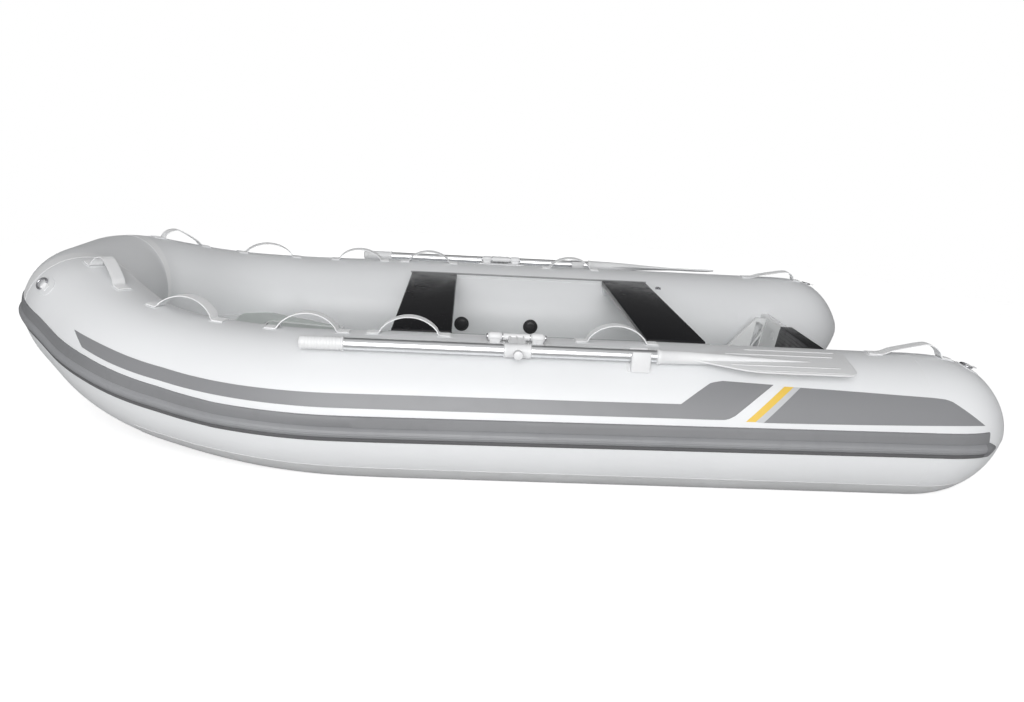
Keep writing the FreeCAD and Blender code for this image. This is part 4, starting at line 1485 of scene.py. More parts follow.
@dataclass
class Fittings:
    """Valves, towing rings, small patches and hooks on the tubes."""

    skin: TubeSkin

    VALVES = (0.1175, -0.1805)
    VALVE_PROFILE = (
        (-0.010, 0.0315), (0.0015, 0.0315), (0.0030, 0.0300), (0.0034, 0.0262), (0.0036, 0.0250),
        (0.0075, 0.0248), (0.0100, 0.0235), (0.0118, 0.0200), (0.0127, 0.0130), (0.0130, 0.0050))
    GRIPS = 10
    RINGS = (("bow_ring", 42.0), ("stern_ring", 86.0))
    BOW_RING_FROM_STEM = 0.290
    STERN_RING_AT = -0.205
    RING_PATCH = (0.068, 0.068, 1.0, 0.0016)
    RING_RADIUS, RING_WIRE = 0.0185, 0.0034
    RING_FLAT, RING_FLATNESS = -0.009, 0.3
    RING_LEAN = math.radians(-14.0)
    TAB_LINE = (
        (-0.026, 0.0022), (-0.012, 0.0030), (-0.007, 0.0092), (-0.001, 0.0092), (0.004, 0.0030),
        (0.009, 0.0022))
    TAB_WIDTH, TAB_THICK, TAB_STEPS, TAB_ACROSS = 0.022, 0.0018, 24, 4
    TONGUE = (-0.020, 49.0, 0.052, 0.105, 0.5)
    TRANSOM_PATCH = (-1.172, 156.5, 0.156, 0.116, 0.16, 0.0016)
    HOOK = (-0.743, 128.0)
    HOOK_SCALE = 0.62

    def build(self) -> None:
        """Builds them all."""
        caps = [self.valve(f"valve_{number}", x) for number, x in enumerate(self.VALVES)]
        fit_pair(join("valve_caps", caps), [BLACK], ["inflation_valves"])
        alongs = (self.skin.half_run - self.BOW_RING_FROM_STEM, self.STERN_RING_AT)
        for (name, degrees), along in zip(self.RINGS, alongs):
            self.ring(name, along, degrees)
        patches = []
        for name, (x, *rest) in (
            ("rowlock_tongue", self.TONGUE), ("transom_patch", self.TRANSOM_PATCH)):
            patches.append(self.skin.patch(name, self.skin.along_of(x), *rest))
        fit_pair(join("small_patches", patches), [PATCH])
        fit_pair(self.hook(), [STEEL])

    def valve(self, name: str, x: float) -> Piece:
        """A domed screw cap with grips round it, facing inboard.

        Args:
            name: its name.
            x: where it stands on the straight side.

        Returns:
            The closed cap.
        """
        cap = turned(name, self.VALVE_PROFILE, 48)
        grips = [cap]
        for number in range(self.GRIPS):
            grip = eased(
                f"{name}_grip_{number}", (0.0225, -0.0018, 0.0030), (0.0262, 0.0018, 0.0095), 0.0008)
            grip.data.transform(Matrix.Rotation(2 * math.pi * number / self.GRIPS, 4, "Z"))
            grips.append(grip)
        bar = eased(name + "_bar", (-0.017, -0.0035, 0.0100), (0.017, 0.0035, 0.0140), 0.0012)
        cap = join(name, grips + [bar])
        stand(cap, Vector((x, self.skin.spread - self.skin.radius, self.skin.height)), -OUTBOARD)
        smooth(cap, CREASE)
        return cap

    def ring(self, name: str, along: float, degrees: float) -> None:
        """A D ring held by a webbing tab on a round patch.

        Args:
            name: its name.
            along: where it is, along the tube.
            degrees: and round it.
        """
        skin = self.skin
        patch = skin.patch(name + "_patch", along, degrees, *self.RING_PATCH)
        fit_pair(patch, [FABRIC], [name])
        foot = skin.place(along, degrees)
        out = skin.outward(along, degrees)
        way = skin.seat(along)[1]
        clear()
        bpy.ops.mesh.primitive_torus_add(
            major_radius=self.RING_RADIUS, minor_radius=self.RING_WIRE, major_segments=40,
            minor_segments=14)
        bow = named(name + "_bow")
        for vertex in bow.data.vertices:
            flat = self.RING_FLAT + self.RING_FLATNESS * (vertex.co.x - self.RING_FLAT)
            vertex.co.x = max(vertex.co.x, flat)
        bow.data.transform(Matrix.Translation((-self.RING_FLAT, 0.0, 0.0)))
        bow.data.transform(Matrix.Rotation(self.RING_LEAN, 4, "Y"))
        bow.data.transform(Matrix.Translation((-0.004, 0.0, 0.0050)))
        stand(bow, foot, out, way)
        smooth(bow)
        fit_pair(bow, [STEEL])
        rows = self.TAB_STEPS
        steps = evened(rounded_off(self.TAB_LINE, 2), rows)

        def place(u: float, v: float) -> Vector:
            """The point at u across and v along."""
            step = steps[round(v * rows)]
            return Vector((step.x, (0.5 - u) * self.TAB_WIDTH, step.y))

        tab = sheet(name + "_tab", self.TAB_ACROSS, rows, place)
        thicken(tab, self.TAB_THICK)
        mend(tab)
        stand(tab, foot, out, way)
        smooth(tab, 45.0)
        fit_pair(tab, [WEBBING])

    def hook(self) -> Piece:
        """The small hook on the tube aft of the aft thwart.

        Returns:
            The closed hook.
        """
        x, degrees = self.HOOK
        along = self.skin.along_of(x)
        base = eased("hook_plate", (-0.020, -0.009, 0.0), (0.020, 0.009, 0.0025), 0.001)
        stem = eased("hook_stem", (-0.006, -0.005, 0.0), (0.0, 0.005, 0.013), 0.0015)
        finger = eased("hook_finger", (-0.006, -0.005, 0.010), (0.018, 0.005, 0.014), 0.0015)
        hook = join("tube_hook", [base, stem, finger])
        hook.data.transform(Matrix.Scale(self.HOOK_SCALE, 4))
        stand(hook, self.skin.place(along, degrees), self.skin.outward(along, degrees))
        smooth(hook)
        return hook


# ---- hull, deck and transom


@dataclass
class Hull:
    """The moulded V hull with its keel strip, the deck and the transom."""

    skin: TubeSkin

    KEEL = -0.095
    CHINE = math.radians(53.13)
    DECK = 0.055
    UNDER = 0.045
    EDGE = 0.040
    SECTIONS = (
        (1.154, 0.0, 1.0, 0.0, 0.0), (0.850, 0.004, 0.96, 0.003, 0.0),
        (0.454, 0.030, 0.77, 0.044, 0.030), (0.254, 0.082, 0.54, 0.105, 0.092),
        (0.124, 0.150, 0.30, 0.155, 0.145), (0.026, 0.256, 0.10, 0.165, 0.158))
    LEAN = math.radians(8.0)
    RAKE = math.tan(LEAN)
    FOOT_AHEAD = 0.075
    THICK = 0.038
    TOP = 0.305
    PAD = 0.006
    KEEL_TO = 0.115
    STRIP = (0.016, 0.010, 0.006)
    STRIP_DEPTH = (0.007, 0.0095)
    FLOOR_HALF = 0.500
    PANELS = 3
    PANEL_Y, PANEL_WIDTH, PANEL_GAP, PANEL_CORNER = 0.205, 0.37, 0.03, 0.03
    PANEL_MARGINS = (0.05, 0.03)
    PADS = (("motor_pad_inner", 0.110, False), ("motor_pad_outer", 0.230, True))
    PAD_WIDTH, PAD_CORNER, PAD_RIBS = 0.36, 0.016, 7
    RIB_HALF, RIB_REACH = 0.0022, 0.162
    PLUG = ((-0.004, 0.020), (0.0025, 0.020), (0.004, 0.0185), (0.0045, 0.014), (0.0046, 0.004))
    KNEE_TOE, KNEE_SILL, KNEE_CROWN, KNEE_HEAD = 0.190, 0.030, 0.030, 0.046
    KNEE_HEEL, KNEE_WIDTH, KNEE_BRACE = 0.006, 0.034, 0.016

    def face(self, z: float) -> float:
        """The x of the transom's forward face at a height."""
        return self.skin.cone_x + self.FOOT_AHEAD + (self.TOP - z) * self.RAKE

    def chine(self) -> tuple[float, float]:
        """The y and z of the line where the hull meets the port tube."""
        across, down = math.cos(self.CHINE), math.sin(self.CHINE)
        return self.skin.spread - self.skin.radius * across, self.skin.height - self.skin.radius * down

    def stations(self) -> list[tuple[float, float, float, float, float]]:
        """The hull's sections, smoothed, as (x, keel z, chine y, chine z, top z).

        Returns:
            The sections from the transom forward.
        """
        skin = self.skin
        chine_y, chine_z = self.chine()
        rows = [(self.face(self.KEEL), self.KEEL, chine_y, chine_z, self.UNDER)]
        for aft, keel, share, chine, top in self.SECTIONS:
            section = (self.KEEL + keel, chine_y * share, chine_z + chine, self.UNDER + top)
            rows.append((skin.bow_x - aft, *section))
        return [tuple(row) for row in rounded_off(rows, 2)]

    def build(self) -> None:
        """Builds every piece."""
        rows = self.stations()

        def place(u: float, v: float) -> Vector:
            """The point at u across and v along."""
            x, keel, chine_y, chine_z, top = rows[round(v * (len(rows) - 1))]
            edge = chine_y + self.EDGE
            half = [
                (edge, top), (mix(edge, chine_y, 0.8) + 0.004, mix(top, chine_z, 0.8)),
                (chine_y + 0.006, chine_z + 0.003), (chine_y + 0.004, chine_z - 0.002),
                (chine_y - 0.014, chine_z - 0.001), (chine_y * 0.70, mix(chine_z, keel, 0.28)),
                (chine_y * 0.34, mix(chine_z, keel, 0.64)), (0.012, keel + 0.002), (0.0, keel)]
            loop = half + [(-y, z) for y, z in reversed(half[:-1])] + [half[0]]
            y, z = loop[round(u * (len(loop) - 1))]
            return Vector((x, y, z))

        shell = skinned("hull_shell", 17, len(rows) - 1, place, 28.0)
        fit(shell, [GELCOAT], ["hull"])

        keel_rows = [row for row in rows if row[0] < self.skin.bow_x - self.KEEL_TO]

        def strip(u: float, v: float) -> Vector:
            """The point at u round the strip and v along it."""
            x, keel, chine_y, chine_z, _ = keel_rows[round(v * (len(keel_rows) - 1))]
            (outer, middle, inner), (low, lowest) = self.STRIP, self.STRIP_DEPTH
            side = keel + outer * (chine_z - keel) / chine_y
            half = [
                (0.0, keel + 0.004), (outer, side + 0.001), (middle, keel - low),
                (inner, keel - lowest)]
            loop = half + [(-y, z) for y, z in reversed(half)]
            y, z = loop[round(u * (len(loop) - 1))]
            return Vector((x, y, z))

        keel = skinned("keel_guard", 7, len(keel_rows) - 1, strip, CREASE)
        fit(keel, [BLACK], ["keel_strip"])
        self.build_deck()
        self.build_transom()

    def build_deck(self) -> None:
        """The moulded floor and its non-skid panels."""
        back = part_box("bow_locker")[0].x
        start = self.face(self.DECK)
        floor = block(
            "deck_floor", (start - 0.004, -self.FLOOR_HALF, self.UNDER),
            (back + 0.01, self.FLOOR_HALF, self.DECK - 0.0008))
        fit(floor, [GELCOAT], ["deck"])
        panels = []
        aft, fore = self.PANEL_MARGINS
        third = (back - start) / self.PANELS
        ends = [start + aft, start + aft + third, back - third, back - fore]
        for number, (low, high) in enumerate(zip(ends, ends[1:])):
            for side in (-1, 1):
                panels.append(rounded_slab(
                    f"deck_panel_{number}_{side}", (low + high) / 2, side * self.PANEL_Y,
                    high - low - self.PANEL_GAP, self.PANEL_WIDTH, self.PANEL_CORNER,
                    self.DECK - 0.004, self.DECK + 0.0008))
        fit(join("deck_nonskid", panels), [NONSKID])

    def build_transom(self) -> None:
        """The transom board, its pads, the plug and the knees."""
        chine_y, chine_z = self.chine()
        outline = [
            (0.0, self.KEEL), (chine_y, chine_z), (chine_y, self.TOP), (-chine_y, self.TOP),
            (-chine_y, chine_z)]
        board = plate(
            "transom_board", [(self.face(z), y, z) for y, z in outline], (-self.THICK, 0.0, 0.0))
        ease(board, 0.007, 4)
        smooth(board)
        fit(board, [GELCOAT], ["transom"])
        for name, depth, outer in self.PADS:
            pad = rounded_slab(
                name + "_slab", -depth / 2, 0.0, depth, self.PAD_WIDTH, self.PAD_CORNER, -0.004,
                self.PAD)
            ribs = [pad]
            for number in range(self.PAD_RIBS):
                at = -depth * (number + 1) / (self.PAD_RIBS + 1)
                rib = eased(
                    f"{name}_rib_{number}", (at - self.RIB_HALF, -self.RIB_REACH, self.PAD - 0.001),
                    (at + self.RIB_HALF, self.RIB_REACH, self.PAD + 0.0012), 0.0008)
                ribs.append(rib)
            pad = join(name + "_slab", ribs)
            up = Vector((-self.RAKE, 0.0, 1.0)).normalized()
            out = Vector((1.0, 0.0, self.RAKE)).normalized()
            foot = Vector((self.face(self.TOP), 0.0, self.TOP))
            if outer:
                foot, out = foot - Vector((self.THICK, 0.0, 0.0)), -out
            stand(pad, foot, out, up)
            smooth(pad, CREASE)
            fit(pad, [BLACK], [name])
        fore, half = self.face(self.TOP), self.PAD_WIDTH / 2
        saddle = eased(
            "pad_saddle", (fore - self.THICK - self.PAD, -half, self.TOP - 0.006),
            (fore + self.PAD, half, self.TOP + 0.005), 0.004, 3)
        smooth(saddle)
        fit(saddle, [BLACK])
        aft = Vector((-math.cos(self.LEAN), 0.0, -math.sin(self.LEAN)))
        plug_z = (self.KEEL + chine_z) / 2
        plug = turned("plug", self.PLUG)
        tab = eased("plug_tab", (-0.0115, -0.0025, 0.003), (0.0115, 0.0025, 0.0085), 0.001)
        plug = join("drain_plug_cap", [plug, tab])
        stand(plug, Vector((self.face(plug_z) - self.THICK, 0.0, plug_z)), aft)
        smooth(plug, CREASE)
        fit(plug, [BLACK], ["drain_plug"])
        fit_pair(self.knee(), [GELCOAT], ["transom_knee"])

    def knee(self) -> Piece:
        """The open triangular bracket between the transom and the deck.

        Returns:
            The closed bracket.
        """
        low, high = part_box("transom_knee_port")
        depth = Vector((0.0, high.y - low.y, 0.0))
        top = self.TOP - 0.005
        root = self.face(self.DECK)
        toe, sill = root + self.KNEE_TOE, self.DECK + self.KNEE_SILL
        width, brace = self.KNEE_WIDTH, self.KNEE_BRACE
        outer = [
            (root, self.DECK), (toe, self.DECK), (toe, sill), (self.face(top) + self.KNEE_HEAD, top),
            (self.face(top), top)]
        crown = top - self.KNEE_CROWN
        low_brace, high_brace = mix(sill, crown, 0.45), mix(sill, crown, 0.85)

        def beside(z: float, ahead: float) -> tuple[float, float]:
            """A point ahead of the transom face at a height, as (x, z)."""
            return self.face(z) + self.KNEE_HEEL + ahead, z

        cuts = (
            (beside(sill, 0.0), beside(sill, width), beside(low_brace - brace, width),
             beside(high_brace - brace, 0.0)),
            (beside(high_brace, 0.0), beside(low_brace, width), beside(crown + 0.015, width),
             beside(crown, 0.0)))
        bracket = plate("knee", [(x, low.y, z) for x, z in outer], depth)
        for number, outline in enumerate(cuts):
            hole = [(x, low.y - CLEAR, z) for x, z in outline]
            cut(bracket, plate(f"knee_hole_{number}", hole, depth + OUTBOARD * 2 * CLEAR))
        ease(bracket, 0.0022, 3)
        smooth(bracket)
        return bracket


def rounded_slab(
    name: str, x: float, y: float, length: float, width: float, corner: float, low: float,
    high: float, edge: float = 0.0015
) -> Piece:
    """A flat slab with rounded corners and eased edges.

    Args:
        name: its name.
        x: its middle.
        y: its middle.
        length: along X.
        width: along Y.
        corner: radius of its corners in plan.
        low: its lower face.
        high: its upper face.
        edge: how much its edges are eased.

    Returns:
        The closed slab.
    """
    points = []
    for side_x, side_y, start in ((1, 1, 0), (-1, 1, 90), (-1, -1, 180), (1, -1, 270)):
        for step in range(7):
            turn = math.radians(start + 15 * step)
            points.append((
                x + side_x * (length / 2 - corner) + corner * math.cos(turn),
                y + side_y * (width / 2 - corner) + corner * math.sin(turn), low))
    slab = plate(name, points, (0.0, 0.0, high - low))
    ease(slab, edge, 2, 50.0)
    smooth(slab, CREASE)
    return slab


@dataclass
class Locker:
    """The raised bow locker, its hinge and its lid."""

    skin: TubeSkin
    hull: Hull
    back: float = field(init=False)
    front: float = field(init=False)
    half: float = field(init=False)

    TOP = 0.230
    DEPTH = 0.140
    LID = 0.020
    GAP = 0.005
    REST = 0.014
    WIDEN = 0.045
    SHOULDER = 1.000
    TUCK = 0.220
    KNUCKLES, STEP, KNUCKLE = 5, 0.0405, 0.040
    BARREL = ((0.0, 0.0046), (0.0004, 0.0050), (0.0396, 0.0050), (0.0400, 0.0046))
    SCREW = ((0.0, 0.0042), (0.0007, 0.0040), (0.0010, 0.0030))
    SCREW_AT, SCREW_SHARES = 0.0135, (0.28, 0.72)
    LEAF = (0.003, 0.022)
    HINGE_RISE = 0.0055
    TREAD = 0.0032
    TREAD_INSET, TREAD_AHEAD, TREAD_GAP = 0.012, 0.022, 0.014
    LID_TREAD = (-0.018, 0.0024)
    LATCH_AT, LATCH = 0.034, (0.032, 0.062, 0.010)
    LID_CORNER, LEAST_CORNER = 0.020, 0.012
    STATIONS, EDGE_STEPS, EDGE_FROM, EDGE_SHORT = 24, 60, 1.6, 0.02
    FLAT_CREASE = 50.0

    def __post_init__(self) -> None:
        """Takes the lid's place from the model."""
        low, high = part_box("bow_locker_lid")
        self.back, self.half = low.x, high.y - self.WIDEN
        self.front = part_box("locker_hinge")[0].x

    def build(self) -> None:
        """Builds the body, the non-skid, the hinge and the lid."""
        low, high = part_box("bow_locker")
        rows = self.hull.stations()
        tops = sorted((row[0], row[4]) for row in rows)
        chines = sorted((row[0], row[2]) for row in rows)
        inner = self.inner_edge()
        xs = [low.x, low.x + 0.0001] + spread(low.x, high.x, self.STATIONS)[1:]

        def place(u: float, v: float) -> Vector:
            """The point at u across and v along."""
            x = xs[round(v * (len(xs) - 1))]
            bottom = along_table(tops, x) - 0.006
            bottom = min(bottom, self.TOP - 0.02)
            foot = along_table(chines, x) + 0.030
            wide = along_table(inner, x) + 0.050
            slant = 1.0 - min(1.0, max(0.0, (x - low.x) / (self.SHOULDER - low.x)))
            wide = min(
                wide, self.skin.spread - self.skin.radius - self.TUCK * slant) if slant > 0 else wide
            sill = self.hull.DECK if slant > 0 else mix(self.TOP, bottom, 0.5)
            low_wide = wide if slant > 0 else mix(wide, foot, 0.5)
            foot = max(foot, low_wide) if slant > 0 else foot
            half = [
                (wide, self.TOP), (low_wide, sill), (mix(low_wide, foot, 0.98), sill), (foot, bottom)]
            loop = half + [(-y, z) for y, z in reversed(half)] + [half[0]]
            y, z = loop[round(u * 8)]
            return Vector((x, y, z))

        body = sheet("locker_body", 8, len(xs) - 1, place)
        mend(body, FINE_WELD, fill=True)
        ease(body, 0.010, 4, 60.0)
        rest = self.TOP - self.LID - 0.0008
        cut(body, self.outline("lid_gap", self.GAP, rest, self.TOP + CLEAR))
        cut(body, self.outline("lid_hole", -self.REST, self.TOP - self.DEPTH, rest + CLEAR))
        smooth(body, CREASE)
        fit(body, [GELCOAT], ["bow_locker"])
        fit(self.tread(low.x), [NONSKID])
        lid = self.outline("lid_plate", 0.0, self.TOP - self.LID, self.TOP + 0.0012)
        ease(lid, 0.004, 3, self.FLAT_CREASE)
        self.build_hinge()
        latch = rounded_slab(
            "lid_latch", self.back + self.LATCH_AT, 0.0, *self.LATCH, self.TOP - 0.002,
            self.TOP + 0.0048)
        fit(latch, [BLACK], body="locker_lid")
        smooth(lid, CREASE)
        fit(lid, [NONSKID], ["bow_locker_lid"], "locker_lid")
        grow, rise = self.LID_TREAD
        pad = self.outline("lid_tread", grow, self.TOP - EMBED, self.TOP + rise)
        ease(pad, 0.0008, 2, self.FLAT_CREASE)
        smooth(pad, CREASE)
        fit(pad, [NONSKID], body="locker_lid")

    def build_hinge(self) -> None:
        """The hinge's knuckles, leaves and screws, on the locker and on the lid."""
        hinge_x, hinge_z = self.front + self.GAP, self.TOP + self.HINGE_RISE
        fixed, moving = [], []
        start = -((self.KNUCKLES - 1) * self.STEP + self.KNUCKLE) / 2
        for number in range(self.KNUCKLES):
            y = start + number * self.STEP
            side = 1 if number % 2 == 0 else -1
            barrel = turned(f"knuckle_{number}", self.BARREL, 24)
            stand(barrel, Vector((hinge_x, y, hinge_z)), OUTBOARD)
            ends = sorted(hinge_x + side * reach for reach in self.LEAF)
            leaf = eased(
                f"leaf_{number}", (ends[0], y, self.TOP + 0.0006),
                (ends[1], y + self.KNUCKLE, self.TOP + 0.0026), 0.0005, 2)
            screws = [turned(f"screw_{number}_{k}", self.SCREW, 16) for k in (0, 1)]
            for screw, share in zip(screws, self.SCREW_SHARES):
                at = (hinge_x + side * self.SCREW_AT, y + self.KNUCKLE * share, self.TOP + 0.0024)
                stand(screw, Vector(at), UP)
            (fixed if side > 0 else moving).extend([barrel, leaf] + screws)
        for piece in fixed + moving:
            smooth(piece, CREASE)
        fit(join("hinge_fixed", fixed), [STEEL], ["locker_hinge"])
        fit(join("hinge_moving", moving), [STEEL], body="locker_lid")

    def tread(self, back: float) -> Piece:
        """The non-skid pad round the lid on the locker's top.

        Args:
            back: the x of the locker's aft face.

        Returns:
            The closed pad.
        """
        wide = self.skin.spread - self.skin.radius
        inset, front = self.TREAD_INSET, self.SHOULDER + self.TREAD_AHEAD
        half = [
            (back + inset, wide - self.TUCK - inset), (self.SHOULDER, wide - inset * 1.1),
            (front, wide - inset * 1.1)]
        plan = half + [(x, -y) for x, y in reversed(half)]
        pad = plate("locker_tread", [(x, y, self.TOP - EMBED) for x, y in plan], (0.0, 0.0, self.TREAD))
        under, over = self.TOP - CLEAR, self.TOP + CLEAR
        cut(pad, self.outline("tread_gap", self.TREAD_GAP, under, over))
        room = (self.front - CLEAR, -0.112, under), (self.front + 0.036, 0.112, over)
        cut(pad, block("tread_hinge_gap", *room))
        ease(pad, 0.0008, 2, self.FLAT_CREASE)
        smooth(pad, CREASE)
        return pad

    def inner_edge(self) -> list[Row]:
        """The tube's inner side at the locker's top, as (x, y).

        Returns:
            The points in order of x.
        """
        edge = []
        for along in spread(self.EDGE_FROM, self.skin.half_run - self.EDGE_SHORT, self.EDGE_STEPS - 1):
            point, _, out, _ = self.skin.seat(along)
            radius = self.skin.radius_at(along)
            rise = min(radius, abs(self.TOP - point.z))
            spot = point - out * math.sqrt(radius * radius - rise * rise)
            edge.append((spot.x, max(0.05, spot.y)))
        return sorted(edge)

    def outline(self, name: str, grow: float, low: float, high: float) -> Piece:
        """The lid's tapered plan with rounded corners, grown all round.

        Args:
            name: the piece's name.
            grow: how far it is grown.
            low: its lower face.
            high: its upper face.

        Returns:
            The closed slab.
        """
        slope = -self.WIDEN / (self.front - self.back)
        back, front = self.back - grow, self.front + grow
        radius = max(self.LEAST_CORNER, self.LID_CORNER + grow)
        corners = []
        for x, side, start in ((front, 1, 0), (back, 1, 90), (back, -1, 180), (front, -1, 270)):
            half = self.half - slope * (x - self.back) + grow
            inward = -1 if x == front else 1
            for step in range(6):
                turn = math.radians(start + 18 * step)
                corners.append((
                    x + inward * radius + radius * math.cos(turn),
                    side * (half - radius) + radius * math.sin(turn), low))
        return plate(name, corners, (0.0, 0.0, high - low))


@dataclass
class Seats:
    """Two gloss plank seats on moulded feet and the tracks they lie along."""

    skin: TubeSkin

    FOOT = 0.045
    FOOT_HEIGHT = 0.034
    PLANK = 0.025
    TRIM = 0.0085
    TRACK_ANGLE, TRACK_HALF, TRACK_LIFT, TRACK_STEPS = 121.0, 3.9, 0.0030, 60
    BEAD = (
        (-0.0018, 0.001), (-0.0018, 0.0065), (-0.003, 0.0085), (0.0, 0.0113), (0.003, 0.0085),
        (0.0018, 0.0065), (0.0018, 0.001))

    def build(self) -> None:
        """Builds the seats and the tracks."""
        for name in ("thwart_forward", "thwart_aft"):
            low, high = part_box(name)
            top = high.z
            under = top - self.PLANK
            plank = eased(
                name + "_plank", (low.x, low.y, under + 0.006), (high.x, high.y, top), 0.007, 5, 60.0)
            smooth(plank)
            fit(plank, [GLOSS], [name])
            trim = rounded_slab(
                name + "_trim", (low.x + high.x) / 2, 0.0, high.x - low.x - EMBED,
                high.y - low.y - EMBED, 0.010, under, under + self.TRIM)
            feet = []
            for side in (-1, 1):
                ends = sorted((side * (high.y - 0.002), side * (high.y - self.FOOT)))
                foot = eased(
                    f"{name}_foot_{side}", (low.x + 0.004, ends[0], under - self.FOOT_HEIGHT),
                    (high.x - 0.004, ends[1], under + 0.002), 0.004, 3)
                smooth(foot)
                feet.append(foot)
            fit(trim, [EDGE])
            fit(join(name + "_feet", feet), [FABRIC])
        self.tracks()

    def tracks(self) -> None:
        """The strip welded along the tube, with its standing edge."""
        low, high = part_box("seat_track_port")
        start, end = self.skin.along_of(low.x), self.skin.along_of(high.x)
        angle, half = self.TRACK_ANGLE, self.TRACK_HALF
        strip = self.skin.tape("track_strip", start, end, angle - half, angle + half, self.TRACK_LIFT)
        fit_pair(strip, [FABRIC], ["seat_track"])
        line = rounded_off(self.BEAD, 1)
        count = len(line)

        def place(u: float, v: float) -> Vector:
            """The point at u across and v along."""
            spot = line[round(u * count) % count]
            along = mix(start, end, v)
            return self.skin.place(along, angle - math.degrees(spot.x / self.skin.radius), spot.y)

        # The bead's dark grey finish paints the shadow line under the standing edge.
        fin = skinned("track_bead", count, self.TRACK_STEPS, place, SOFT)
        fit_pair(fin, [TRACK_BEAD_SHADE])


# ---- oars


